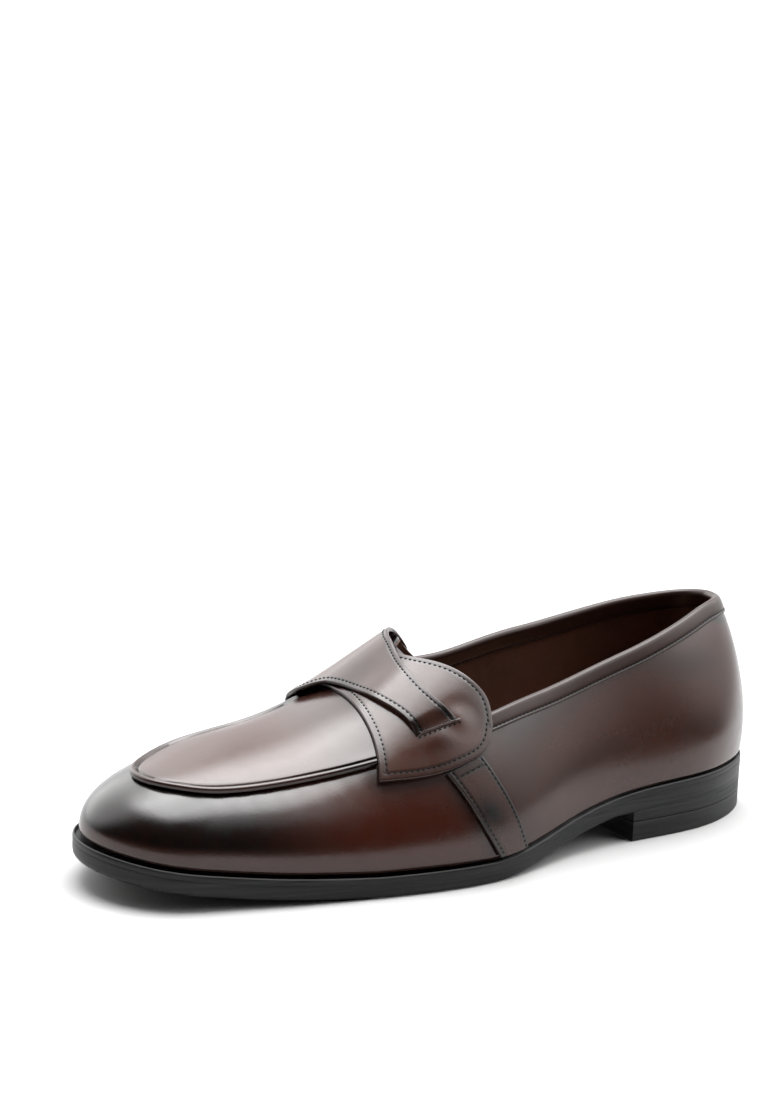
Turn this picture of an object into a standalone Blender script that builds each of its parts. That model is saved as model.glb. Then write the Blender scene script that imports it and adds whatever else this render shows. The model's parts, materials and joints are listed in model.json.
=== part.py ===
"""Gurkha loafer, left shoe: hollow upper on a built-up sole, with apron, crossed strap, wing and strips.

Frame: +X toward the toe, +Y toward the lateral side, +Z up, metres, standing on z = 0.
"""
import bmesh
import bpy
import numpy as np

MM = 0.001
SHARP = 0.6

# main sizes in millimetres
LENGTH = 300.0
OUTSOLE_THICK = 7.9
WALL = 2.0
GAP = 0.35
LIFT_THICK = 8.0
INSOLE_THICK = 3.0
HEEL_BREAST = 0.275
HEEL_INSET = 0.05
BINDING_WIDTH = 7.6
BINDING_THICK = 1.0
APRON_THICK = 1.3
BEAD_RISE = 1.1
WING_THICK = 2.5
STRAP_THICK = 1.9
STRAP_LIFT = 3.3
STRIP_THICK = 1.5

# outsole plan: station along the length, lateral half width, medial half width
OUTLINE = np.array([
    (0.05, 22.1, 21.5),
    (0.12, 32.6, 31.0),
    (0.20, 37.0, 33.8),
    (0.30, 38.8, 31.0),
    (0.40, 44.6, 28.0),
    (0.50, 53.6, 30.0),
    (0.60, 55.2, 38.0),
    (0.70, 51.4, 46.5),
    (0.80, 45.8, 47.5),
    (0.88, 40.0, 42.0),
    (0.95, 30.5, 30.0)])

# underside of the outsole: station, height above the floor
SOLE_CURVE = np.array([
    (0.00, 15.5),
    (0.13, 14.6),
    (0.26, 12.9),
    (0.36, 8.4),
    (0.45, 2.9),
    (0.52, 0.1),
    (0.60, -0.5),
    (0.68, 0.0),
    (0.74, 1.0),
    (0.82, 2.9),
    (0.91, 6.2),
    (1.00, 10.4)])

# welt left showing around the upper: station, margin
WELT = np.array([
    (0.00, 0.7),
    (0.42, 0.9),
    (0.62, 2.2),
    (1.00, 2.4)])

# crown line of the last: station, height, sideways offset
CROWN = np.array([
    (0.085, 104.0, 0.0),
    (0.16, 109.2, -1.0),
    (0.30, 113.4, -3.0),
    (0.42, 99.2, -5.0),
    (0.50, 89.5, -6.0),
    (0.58, 75.5, -7.5),
    (0.66, 59.5, -9.5),
    (0.72, 51.5, -10.5),
    (0.80, 46.5, -9.0),
    (0.85, 44.0, -6.0)])

# ribs of the last: station, then bulge, rise and reach for the lateral and the medial side
RIBS = np.array([
    (0.00, 8.0, 33.3, -0.03, 8.0, 33.3, -0.03),
    (0.035, 4.2, 34.4, 0.59, 4.2, 34.4, 0.59),
    (0.10, 4.3, 37.0, 0.62, 4.3, 37.0, 0.62),
    (0.25, 1.3, 37.2, 0.59, 3.5, 36.6, 0.52),
    (0.40, 2.0, 34.0, 0.55, 6.0, 36.0, 0.55),
    (0.55, 2.0, 30.0, 0.55, 6.0, 32.0, 0.55),
    (0.70, 2.5, 25.0, 0.58, 3.0, 25.0, 0.60),
    (0.85, 2.5, 21.0, 0.63, 2.5, 20.0, 0.62),
    (1.00, 1.5, 15.0, 0.62, 1.5, 15.0, 0.62)])

# collar of the upper: rib, share of the rib kept on the lateral and on the medial side
COLLAR = np.array([
    (0.000, 0.698, 0.698),
    (0.050, 0.699, 0.697),
    (0.100, 0.698, 0.690),
    (0.140, 0.687, 0.671),
    (0.175, 0.660, 0.641),
    (0.210, 0.616, 0.606),
    (0.240, 0.5725, 0.576),
    (0.275, 0.527, 0.542),
    (0.310, 0.489, 0.514),
    (0.345, 0.462, 0.4975),
    (0.375, 0.452, 0.4965),
    (0.405, 0.453, 0.511),
    (0.435, 0.463, 0.529),
    (0.470, 0.4815, 0.544),
    (0.490, 0.489, 0.554),
    (0.511, 0.4925, 0.575)])
# throat of the upper under the wing and strap, in the same columns
THROAT = np.array([
    (0.511, 0.4925, 0.575),
    (0.517, 0.545, 0.601),
    (0.524, 0.597, 0.632),
    (0.536, 0.665, 0.700),
    (0.550, 0.730, 0.795),
    (0.562, 0.785, 0.885),
    (0.574, 0.850, 0.955),
    (0.581, 0.930, 0.985),
    (0.584, 1.000, 1.000)])
# binding: rib of its end at the rim and at its lower edge, lateral and medial
BINDING_END = {1: (0.511, 0.5155), -1: (0.5135, 0.5135)}

# apron edge: rib, distance from the crown as a share of the rib, lateral and medial
APRON = np.array([
    (0.620, 0.523, 0.218),
    (0.665, 0.501, 0.246),
    (0.711, 0.496, 0.246),
    (0.746, 0.503, 0.245),
    (0.796, 0.496, 0.271),
    (0.844, 0.457, 0.288),
    (0.905, 0.411, 0.300),
    (0.950, 0.380, 0.325),
    (1.000, 0.352, 0.352)])
# clearance from the wing's front edge to the rear end of the apron
APRON_CLEAR = 0.9

# outlines on the last: x along the shoe, v from the crown (0) to the lateral (1) or medial (-1) feather
WING_FRONT = np.array([(51.5, 0.596), (48.4, 0.466), (46.5, 0.303), (45.7, 0.100), (46.0, -0.050),
                       (46.0, -0.160), (45.0, -0.270)])
WING_REAR = np.array([(4.6, 0.548), (3.8, 0.472), (6.1, 0.406), (10.1, 0.336), (16.9, 0.238), (22.5, 0.135),
                      (23.5, -0.050), (19.5, -0.160), (14.0, -0.270)])
WING_BOTTOM = np.array([(51.5, 0.596), (40.6, 0.626), (27.1, 0.643), (17.3, 0.636), (11.0, 0.622),
                        (6.8, 0.588), (4.6, 0.548)])
STRAP_FRONT = np.array([(53.0, -0.560), (53.6, -0.420), (53.4, -0.280), (52.4, -0.170), (48.8, -0.080),
                        (44.8, 0.040), (42.6, 0.140), (38.2, 0.316), (35.1, 0.408), (33.6, 0.484)])
STRAP_REAR = np.array([(3.6, -0.500), (3.2, -0.430), (6.5, -0.340), (13.0, -0.200), (18.0, -0.080),
                       (21.1, 0.027), (24.4, 0.146), (25.2, 0.258), (23.7, 0.360), (18.0, 0.490)])
STRAP_FOOT = np.array([(53.0, -0.560), (40.0, -0.592), (27.0, -0.610), (14.0, -0.590), (6.5, -0.550),
                       (3.6, -0.500)])
STRIP_FRONT = np.array([(26.4, 0.652), (18.2, 0.798), (12.6, 0.898), (7.2, 0.985)])
STRIP_REAR = np.array([(11.4, 0.632), (3.2, 0.775), (-1.6, 0.870), (-6.4, 0.985)])
STRIP_FRONT_MEDIAL = np.array([(32.0, -0.617), (26.0, -0.760), (20.0, -0.890), (15.0, -0.985)])
STRIP_REAR_MEDIAL = np.array([(16.0, -0.604), (9.0, -0.750), (3.5, -0.880), (-1.0, -0.985)])

# side of the outsole and of the heel: share of the height, inset
OUTSOLE_EDGE = np.array([
    (0.00, 1.2),
    (0.10, 0.4),
    (0.28, 0.0),
    (0.66, 0.0),
    (0.70, 0.45),
    (0.76, 0.45),
    (0.80, 0.0),
    (0.94, 0.1),
    (1.00, 0.5)])
HEEL_EDGE = np.array([
    (0.00, 0.3),
    (0.08, 0.0),
    (0.50, 0.0),
    (0.56, 0.3),
    (0.64, 0.3),
    (0.70, 0.0),
    (1.00, 0.0)])
LIFT_EDGE = np.array([
    (0.00, 0.5),
    (0.06, 0.15),
    (0.14, 0.0),
    (1.00, 0.0)])

# colours: red, green, blue, roughness
COLOURS = {
    "upper": (0.075, 0.042, 0.032, 0.38),
    "apron": (0.085, 0.050, 0.040, 0.36),
    "wing": (0.075, 0.044, 0.035, 0.38),
    "strap": (0.075, 0.044, 0.035, 0.38),
    "strip": (0.065, 0.036, 0.028, 0.40),
    "binding": (0.055, 0.036, 0.030, 0.42),
    "insole": (0.30, 0.16, 0.09, 0.60),
    "outsole": (0.012, 0.012, 0.012, 0.45),
    "heel": (0.014, 0.014, 0.014, 0.50),
    "lift": (0.010, 0.010, 0.010, 0.65)}


def spline(xs, ys, x):
    """Natural cubic spline through the table columns xs, ys."""
    xs = np.asarray(xs, float)
    ys = np.asarray(ys, float)
    x = np.asarray(x, float)
    n = len(xs)
    h = np.diff(xs)
    m = np.eye(n)
    b = np.zeros(n)
    for i in range(1, n - 1):
        m[i, i - 1:i + 2] = h[i - 1], 2 * (h[i - 1] + h[i]), h[i]
        b[i] = 3 * ((ys[i + 1] - ys[i]) / h[i] - (ys[i] - ys[i - 1]) / h[i - 1])
    c = np.linalg.solve(m, b)
    s = np.diff(ys) / h - h * (2 * c[:-1] + c[1:]) / 3
    d = np.diff(c) / (3 * h)
    i = np.clip(np.searchsorted(xs, x) - 1, 0, n - 2)
    t = x - xs[i]
    return ys[i] + s[i] * t + c[i] * t * t + d[i] * t ** 3


def half_width(a, side):
    """Half width of the outsole at station a, rounded at both ends."""
    st = OUTLINE[:, 0]
    g = OUTLINE[:, 1 if side > 0 else 2] / np.sqrt(4 * st * (1 - st))
    full = spline(np.r_[0, st, 1], np.r_[g[0], g, g[-1]], a)
    return full * np.sqrt(np.maximum(4 * a * (1 - a), 0))


def sole_under(x):
    """Height of the outsole's underside at x, flat where it touches the floor."""
    a = np.clip(np.asarray(x) / LENGTH + 0.5, 0, 1)
    return np.maximum(spline(SOLE_CURVE[:, 0], SOLE_CURVE[:, 1], a), 0.0)


def sole_top(x):
    """Height of the outsole's top at x."""
    return sole_under(x) + OUTSOLE_THICK


def station(u):
    """Station for a rib number: ribs lie closer at toe and heel."""
    return (1 - np.cos(np.pi * np.asarray(u))) / 2


def outline(u, side, inset):
    """Plan points of the outline at ribs u, set in by inset, with outward normals."""
    u = np.asarray(u, float)

    def plan(w):
        a = station(w)
        return np.stack([(a - 0.5) * LENGTH, side * half_width(a, side)], -1)

    e = 1e-4
    p = plan(u)
    t = plan(np.clip(u + e, 0, 1)) - plan(np.clip(u - e, 0, 1))
    n = np.stack([t[..., 1], -t[..., 0]], -1) * (-side)
    n = n / np.linalg.norm(n, axis=-1, keepdims=True)
    end = (u < 1e-9) | (u > 1 - 1e-9)
    axis = np.stack([np.where(u < 0.5, -1.0, 1.0), np.zeros_like(u)], -1)
    n = np.where(end[..., None], axis, n)
    return p - n * np.asarray(inset)[..., None], n


def last(u, v):
    """Point of the last at rib u and share v: 0 on the crown, 1 lateral feather, -1 medial feather."""
    u, v = np.broadcast_arrays(np.asarray(u, float), np.asarray(v, float))
    both = [_half_last(u, np.abs(v), side) for side in (1, -1)]
    return np.where((v >= 0)[..., None], both[0], both[1])


def _half_last(u, v, side):
    a = station(u)
    margin = np.interp(a, WELT[:, 0], WELT[:, 1])
    plan, n = outline(u, side, margin)
    foot = np.concatenate([plan, sole_top(plan[..., 0])[..., None] + GAP], -1)
    ra = CROWN[0, 0] + (CROWN[-1, 0] - CROWN[0, 0]) * a
    crown = [spline(CROWN[:, 0], CROWN[:, k], ra) for k in (1, 2)]
    e = 1e-3
    rise_a = spline(CROWN[:, 0], CROWN[:, 1], ra + e)
    rise_b = spline(CROWN[:, 0], CROWN[:, 1], ra - e)
    slope = (rise_a - rise_b) / (2 * e * LENGTH)
    top = np.stack([(ra - 0.5) * LENGTH, crown[1], crown[0]], -1)
    col = 1 if side > 0 else 4
    bulge, rise, reach = [spline(RIBS[:, 0], RIBS[:, col + i], a) for i in range(3)]
    low = foot + np.concatenate([n * bulge[..., None], rise[..., None]], -1)
    d = (foot - top)[..., :2] * reach[..., None]
    high = top + np.concatenate([d, (slope * d[..., 0])[..., None]], -1)
    t = (1 - v)[..., None]
    s = v[..., None]
    return s ** 3 * foot + 3 * s * s * t * low + 3 * s * t * t * high + t ** 3 * top


def normal(u, v):
    """Outward normal of the last."""
    e = 1e-3
    u = np.clip(u, e, 1 - e)
    side = np.where(np.asarray(v) >= 0, 1.0, -1.0)
    w = side * np.clip(np.abs(v), 2 * e, 1 - e)
    du = last(u + e, w) - last(u - e, w)
    dv = last(u, w + e) - last(u, w - e)
    n = np.cross(du, dv)
    return n / np.linalg.norm(n, axis=-1, keepdims=True)


def rib_at(x, v):
    """Rib number of the point of the last at x and v."""
    x, v = np.broadcast_arrays(np.asarray(x, float), np.asarray(v, float))
    lo = np.full(x.shape, 0.02)
    hi = np.full(x.shape, 0.98)
    for _ in range(34):
        mid = (lo + hi) / 2
        less = last(mid, v)[..., 0] < x
        lo = np.where(less, mid, lo)
        hi = np.where(less, hi, mid)
    return (lo + hi) / 2


def along(table, n):
    """n points along an outline table, evenly spaced by chord, rounded between the rows."""
    step = np.hypot(np.diff(table[:, 0]) / 70.0, np.diff(table[:, 1]))
    k = np.r_[0, np.cumsum(step)]
    k = k / k[-1]
    s = np.linspace(0, 1, n)
    return np.stack([spline(k, table[:, 0], s), spline(k, table[:, 1], s)], -1)


def patch(front, rear, foot, head):
    """Grid of (x, v) filled in between four edges."""
    n = len(front)
    m = len(foot)
    q = np.linspace(0, 1, n)[:, None, None]
    p = np.linspace(0, 1, m)[None, :, None]
    side = (1 - p) * front[:, None] + p * rear[:, None]
    ends = (1 - q) * foot[None] + q * head[None]
    corner = (1 - p) * (1 - q) * front[0] + p * (1 - q) * rear[0] + (1 - p) * q * front[-1] + p * q * rear[-1]
    return side + ends - corner


def straight(a, b, n):
    """n points from a to b."""
    s = np.linspace(0, 1, n)[:, None]
    return (1 - s) * np.asarray(a) + s * np.asarray(b)


def material(name, colour):
    """Principled material of one sub-part."""
    mat = bpy.data.materials.new(name)
    mat.use_nodes = True
    node = mat.node_tree.nodes["Principled BSDF"]
    node.inputs["Base Color"].default_value = (*colour[:3], 1.0)
    node.inputs["Roughness"].default_value = colour[3]
    return mat


def add_object(name, verts, faces, colour):
    """Add one closed mesh object, welded and with its faces out."""
    mesh = bpy.data.meshes.new(name)
    mesh.from_pydata([tuple(p) for p in np.asarray(verts) * MM], [], faces)
    bm = bmesh.new()
    bm.from_mesh(mesh)
    bmesh.ops.remove_doubles(bm, verts=bm.verts, dist=1e-6)
    bmesh.ops.dissolve_degenerate(bm, edges=bm.edges, dist=1e-6)
    bmesh.ops.triangulate(bm, faces=bm.faces)
    bmesh.ops.recalc_face_normals(bm, faces=bm.faces)
    bm.to_mesh(mesh)
    bm.free()
    mesh.shade_smooth()
    mesh.set_sharp_from_angle(angle=SHARP)
    mesh.materials.append(material(name, colour))
    obj = bpy.data.objects.new(name, mesh)
    bpy.context.scene.collection.objects.link(obj)
    return obj


def slab(over, under, faces):
    """Closed mesh between two sheets that share their faces."""
    n = len(over)
    verts = np.vstack([over, under])
    used = {}
    for f in faces:
        for a, b in zip(f, f[1:] + f[:1]):
            used[(a, b)] = used.get((a, b), 0) + 1
    out = [list(f) for f in faces]
    out += [[i + n for i in reversed(f)] for f in faces]
    out += [[b, a, a + n, b + n] for a, b in used if (b, a) not in used]
    return verts, out


def sheet(grids):
    """Weld (u, v) grids into one sheet: points, normals, faces."""
    index = {}
    points = []
    normals = []
    faces = []
    for u, v in grids:
        p = last(u, v)
        nr = normal(u, v)
        ids = np.zeros(u.shape, int)
        for k in np.ndindex(u.shape):
            key = tuple(np.round(p[k], 4))
            if key not in index:
                index[key] = len(points)
                points.append(p[k])
                normals.append(np.zeros(3))
            ids[k] = index[key]
            normals[ids[k]] = normals[ids[k]] + nr[k]
        flip = v[0, 0] < 0 or v[-1, 0] < 0
        for i in range(u.shape[0] - 1):
            for j in range(u.shape[1] - 1):
                f = [ids[i, j], ids[i + 1, j], ids[i + 1, j + 1], ids[i, j + 1]]
                f = [a for a, b in zip(f, f[1:] + f[:1]) if a != b]
                if len(f) > 2:
                    faces.append(f[::-1] if flip else f)
    normals = np.array(normals)
    return np.array(points), normals / np.linalg.norm(normals, axis=1, keepdims=True), faces


def collar_share(u, side):
    """Share of a rib kept below the collar."""
    return spline(COLLAR[:, 0], COLLAR[:, 1 if side > 0 else 2], u)


def mouth_share(u, side):
    """Share of a rib kept by the upper, along the collar and then the throat."""
    throat = np.clip(spline(THROAT[:, 0], THROAT[:, 1 if side > 0 else 2], u), 0, 1)
    throat = np.where(u >= THROAT[-1, 0], 1.0, throat)
    return np.where(u < THROAT[0, 0], collar_share(u, side), throat)


def upper_ribs():
    """Rib numbers of the upper, closer where the throat turns."""
    rear = np.linspace(0.0, 0.48, 15)
    throat = np.array([0.500, 0.511, 0.517, 0.524, 0.534, 0.546, 0.560, 0.572, 0.579, THROAT[-1, 0]])
    fore = np.linspace(THROAT[-1, 0], 1.0, 16)[1:]
    return np.r_[rear, throat, fore]


def build_upper():
    """Hollow upper: one wall, open at the mouth and underneath."""
    u = upper_ribs()
    s = np.linspace(0, 1, 12) ** 0.92
    grids = []
    for side in (1, -1):
        keep = mouth_share(u, side)
        v = side * (1 - keep[:, None] * s[None, :])
        v = np.where(np.abs(v) < 1e-9, side * 1e-12, v)
        grids.append((np.repeat(u[:, None], len(s), 1), v))
    points, normals, faces = sheet(grids)
    inner = points - WALL * normals
    foot = np.abs(points[:, 2] - sole_top(points[:, 0]) - GAP) < 1e-6
    inner[foot, 2] = sole_top(inner[foot, 0]) + GAP
    verts, out = slab(points, inner, faces)
    return add_object("upper", verts, out, COLOURS["upper"])


def build_apron():
    """Apron on the vamp with a rolled bead along its edge."""
    bead = np.array([(0.0, -0.4), (0.04, BEAD_RISE), (0.09, -0.2), (0.15, 0.0)])
    plain = np.linspace(0.15, 1.0, 7)[1:]
    rise = np.vstack([bead, np.column_stack([plain, np.zeros(len(plain))])])
    rise[:, 1] += APRON_THICK
    p = np.linspace(0, 1, 19)
    grids = []
    for side in (1, -1):
        col = 1 if side > 0 else 2
        start = np.full(len(rise), 0.63)
        for _ in range(8):
            v = side * spline(APRON[:, 0], APRON[:, col], start) * (1 - rise[:, 0])
            rear = np.interp(v, WING_FRONT[::-1, 1], WING_FRONT[::-1, 0]) + APRON_CLEAR
            start = rib_at(rear, v)
        u = start[None, :] + (1 - start[None, :]) * p[:, None]
        edge = spline(APRON[:, 0], APRON[:, col], u)
        v = side * edge * (1 - rise[None, :, 0])
        v = np.where(np.abs(v) < 1e-9, side * 1e-12, v)
        grids.append((u, v))
    points, normals, faces = sheet(grids)
    height = np.zeros(len(points))
    index = {tuple(np.round(q, 4)): i for i, q in enumerate(points)}
    for u, v in grids:
        q = last(u, v)
        for i, j in np.ndindex(u.shape):
            height[index[tuple(np.round(q[i, j], 4))]] = rise[j, 1]
    over = points + (GAP + height)[:, None] * normals
    under = points + GAP * normals
    verts, out = slab(over, under, faces)
    return add_object("apron", verts, out, COLOURS["apron"])


def overlay(name, grid, low, high, colour):
    """Overlay on the last: a grid of (x, v) with its lower and upper offsets."""
    u = rib_at(grid[..., 0], grid[..., 1])
    p = last(u, grid[..., 1])
    n = normal(u, grid[..., 1])
    rows, cols = u.shape
    faces = [[i * cols + j, (i + 1) * cols + j, (i + 1) * cols + j + 1, i * cols + j + 1]
             for i in range(rows - 1) for j in range(cols - 1)]
    over = (p + np.asarray(high)[..., None] * n).reshape(-1, 3)
    under = (p + np.asarray(low)[..., None] * n).reshape(-1, 3)
    verts, out = slab(over, under, faces)
    return add_object(name, verts, out, colour)


def edge_round(rows, cols, drop):
    """Drop of an overlay's top along its border, so the edge is rounded."""
    d = np.zeros((rows, cols))
    d[0] = d[-1] = drop
    d[:, 0] = d[:, -1] = drop
    return d


def build_wing():
    """Wing on the lateral side of the instep."""
    rows, cols = 16, 13
    grid = patch(along(WING_FRONT, rows), along(WING_REAR, rows), along(WING_BOTTOM, cols),
                 straight(WING_FRONT[-1], WING_REAR[-1], cols))
    low = np.full((rows, cols), GAP)
    high = low + WING_THICK - edge_round(rows, cols, 0.5)
    return overlay("wing", grid, low, high, COLOURS["wing"])


def build_strap():
    """Strap: a wing on the medial side that crosses the instep and ends on the lateral wing."""
    rows, cols = 24, 9
    grid = patch(along(STRAP_FRONT, rows), along(STRAP_REAR, rows), along(STRAP_FOOT, cols),
                 straight(STRAP_FRONT[-1], STRAP_REAR[-1], cols))
    v = grid[..., 1]
    ramp = np.clip((v + 0.46) / 0.16, 0, 1)
    low = GAP + (STRAP_LIFT - GAP) * ramp * ramp * (3 - 2 * ramp)
    end = np.clip((v - 0.44) / 0.05, 0, 1)
    high = low + STRAP_THICK - edge_round(rows, cols, 0.5) - 0.4 * end
    return overlay("strap", grid, low, high, COLOURS["strap"])


def build_strip(name, front, rear):
    """Strip from the wing down to the sole."""
    rows, cols = 9, 4
    grid = patch(along(front, rows), along(rear, rows), straight(front[0], rear[0], cols),
                 straight(front[-1], rear[-1], cols))
    low = np.full((rows, cols), GAP)
    high = low + STRIP_THICK - edge_round(rows, cols, 0.4)
    return overlay(name, grid, low, high, COLOURS["strip"])


def build_binding():
    """Binding around the collar, from wing to strap by way of the heel."""
    share = np.linspace(0.0, 1.0, 22)
    drop = np.array([0.0, 0.12, 0.5, 0.88, 1.0])
    lift = np.array([0.6, 1.0, 1.0, 1.0, 0.6]) * BINDING_THICK
    grids = []
    for side in (1, -1):
        rim, low = BINDING_END[side]
        u = rim * share[:, None] + (low - rim) * drop[None, :] * share[:, None] ** 8
        keep = collar_share(u, side)
        top = last(u, side * (1 - keep))
        slope = np.linalg.norm(last(u, side * (1 - keep + 0.01)) - top, axis=-1) / 0.01
        v = side * (1 - keep + drop[None, :] * BINDING_WIDTH / slope)
        grids.append((u, v))
    points, normals, faces = sheet(grids)
    index = {tuple(np.round(q, 4)): i for i, q in enumerate(points)}
    height = np.zeros(len(points))
    for uu, vv in grids:
        q = last(uu, vv)
        for i, j in np.ndindex(uu.shape):
            height[index[tuple(np.round(q[i, j], 4))]] = lift[j]
    over = points + (GAP + height)[:, None] * normals
    under = points + GAP * normals
    verts, out = slab(over, under, faces)
    return add_object("binding", verts, out, COLOURS["binding"])


def loop(u, inset):
    """Closed plan loop around the outline: lateral side forward, medial side back."""
    lat = outline(u, 1, np.full(u.shape, inset))[0]
    med = outline(u, -1, np.full(u.shape, inset))[0]
    return lat, med


def layered(name, u, layers, colour):
    """Solid from stacked outlines; each layer gives an inset and a height function of x."""
    n = len(u)
    verts = []
    for inset, height in layers:
        lat, med = loop(u, inset)
        for plan in (lat, med):
            verts.append(np.column_stack([plan, height(plan[:, 0])]))
    verts = np.vstack(verts)
    faces = []
    ring = list(range(n)) + [2 * n - 1 - i for i in range(n)]
    for k in range(len(layers) - 1):
        for a, b in zip(ring, ring[1:] + ring[:1]):
            lo = 2 * n * k
            faces.append([lo + a, lo + b, lo + 2 * n + b, lo + 2 * n + a])
    for base in (0, 2 * n * (len(layers) - 1)):
        for i in range(n - 1):
            faces.append([base + i, base + i + 1, base + n + i + 1, base + n + i])
    return add_object(name, verts, faces, colour)


def build_outsole():
    """Outsole with toe spring, arch and a fine groove along its side; square below where the heel meets it."""
    u = np.linspace(0, 1, 49)
    ahead = np.clip((station(u) - HEEL_BREAST) / 0.03, HEEL_INSET / OUTSOLE_EDGE[0, 1], 1)
    layers = [(inset * (ahead if share < 0.2 else 1), lambda x, s=share: sole_under(x) + s * OUTSOLE_THICK)
              for share, inset in OUTSOLE_EDGE]
    return layered("outsole", u, layers, COLOURS["outsole"])


def heel_ribs():
    """Rib numbers of the heel, from the back to the breast."""
    return np.linspace(0, np.arccos(1 - 2 * HEEL_BREAST) / np.pi, 17)


def build_heel():
    """Heel block under the outsole, level below and following the seat above."""
    low = LIFT_THICK + GAP
    layers = [(HEEL_INSET + inset, lambda x, s=share: low + s * (sole_under(x) - GAP - low))
              for share, inset in HEEL_EDGE]
    return layered("heel", heel_ribs(), layers, COLOURS["heel"])


def build_lift():
    """Top lift, the heel's flat wearing layer."""
    layers = [(HEEL_INSET + inset, lambda x, s=share: np.full(x.shape, s * LIFT_THICK))
              for share, inset in LIFT_EDGE]
    return layered("lift", heel_ribs(), layers, COLOURS["lift"])


def build_insole():
    """Insole inside the upper, on the outsole."""
    inset = WELT[-1, 1] + WALL + 0.9
    u = np.linspace(0.0, 1.0, 33)
    layers = [(inset, lambda x: sole_top(x) + GAP), (inset, lambda x: sole_top(x) + GAP + INSOLE_THICK)]
    return layered("insole", u, layers, COLOURS["insole"])


def centre():
    """Move the shoe so its box is centred over the origin and stands on z = 0."""
    lo = np.full(3, 1e9)
    hi = np.full(3, -1e9)
    for obj in bpy.data.objects:
        for vert in obj.data.vertices:
            lo = np.minimum(lo, vert.co)
            hi = np.maximum(hi, vert.co)
    shift = np.array([(lo[0] + hi[0]) / 2, (lo[1] + hi[1]) / 2, lo[2]])
    for obj in bpy.data.objects:
        for vert in obj.data.vertices:
            vert.co = tuple(np.array(vert.co) - shift)


def build():
    """Build every sub-part of the loafer."""
    for obj in list(bpy.data.objects):
        bpy.data.objects.remove(obj, do_unlink=True)
    build_outsole()
    build_heel()
    build_lift()
    build_insole()
    build_upper()
    build_apron()
    build_wing()
    build_strap()
    build_strip("strip_lateral", STRIP_FRONT, STRIP_REAR)
    build_strip("strip_medial", STRIP_FRONT_MEDIAL, STRIP_REAR_MEDIAL)
    build_binding()
    centre()


build()
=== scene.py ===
"""Gurkha loafer, left shoe: burnished calf upper with apron, wing and crossed strap on a black rubber sole.

Row frame: +X toward the toe, +Y toward the lateral side, +Z up, metres. Tables and sizes are in millimetres.
"""
from __future__ import annotations

import json
import logging
import math
from collections.abc import Callable
from dataclasses import dataclass
from enum import Enum

import bmesh
import bpy
import numpy as np
from mathutils import Matrix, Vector
from mathutils.bvhtree import BVHTree

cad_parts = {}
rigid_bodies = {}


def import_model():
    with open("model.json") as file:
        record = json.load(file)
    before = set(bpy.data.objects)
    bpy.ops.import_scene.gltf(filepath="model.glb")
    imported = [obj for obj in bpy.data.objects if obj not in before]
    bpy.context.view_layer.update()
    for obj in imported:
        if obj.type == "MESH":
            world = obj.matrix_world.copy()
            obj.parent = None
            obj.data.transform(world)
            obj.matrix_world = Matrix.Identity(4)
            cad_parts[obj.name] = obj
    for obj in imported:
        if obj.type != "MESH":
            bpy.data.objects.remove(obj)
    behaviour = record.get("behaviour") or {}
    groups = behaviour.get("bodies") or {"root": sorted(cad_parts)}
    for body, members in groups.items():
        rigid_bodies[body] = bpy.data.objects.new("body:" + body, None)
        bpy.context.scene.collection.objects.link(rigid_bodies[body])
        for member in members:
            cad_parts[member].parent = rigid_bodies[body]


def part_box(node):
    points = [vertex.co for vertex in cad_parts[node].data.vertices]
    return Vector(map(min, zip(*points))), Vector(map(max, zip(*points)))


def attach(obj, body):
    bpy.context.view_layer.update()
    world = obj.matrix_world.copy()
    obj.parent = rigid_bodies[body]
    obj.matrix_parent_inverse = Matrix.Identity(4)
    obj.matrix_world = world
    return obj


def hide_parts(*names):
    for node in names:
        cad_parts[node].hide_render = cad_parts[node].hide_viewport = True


for leftover in list(bpy.data.objects):
    bpy.data.objects.remove(leftover, do_unlink=True)
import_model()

LOG = logging.getLogger("loafer")
MM = 0.001
Array = np.ndarray
Table = tuple[tuple[float, ...], ...]
Triple = tuple[float, float, float]
Colour = Triple
Height = Callable[[Array], Array]
Layer = tuple[Array | float, Height]
# length of a rib, about, by which an outline's share is weighed against its x
RIB_LENGTH = 70.0
# distances from a rolled edge at which a mesh has rows
ROLL_ROWS = (0, 0.08, 0.2, 0.4, 0.7, 1.05, 1.5, 1.9, 2.2, 2.5, 2.8, 3.1, 3.5, 4.0, 4.7, 5.5)
# points compared with a line at a time
BATCH = 2000
# metres within which points are welded, and the angle past which an edge stays sharp
WELD = 2e-6
SHARP_ANGLE = math.radians(75)
# share that stands for the crown but keeps its side
CROWN = 1e-12


class Side(Enum):
    """The two sides of the shoe."""

    LATERAL = 1
    MEDIAL = -1

    @property
    def column(self) -> int:
        """Column of this side in a table of position, lateral value and medial value."""
        return 1 if self is Side.LATERAL else 2


class Edge(Enum):
    """The four edges of a cut leather piece."""

    FRONT = "front"
    REAR = "rear"
    FOOT = "foot"
    HEAD = "head"


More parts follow.
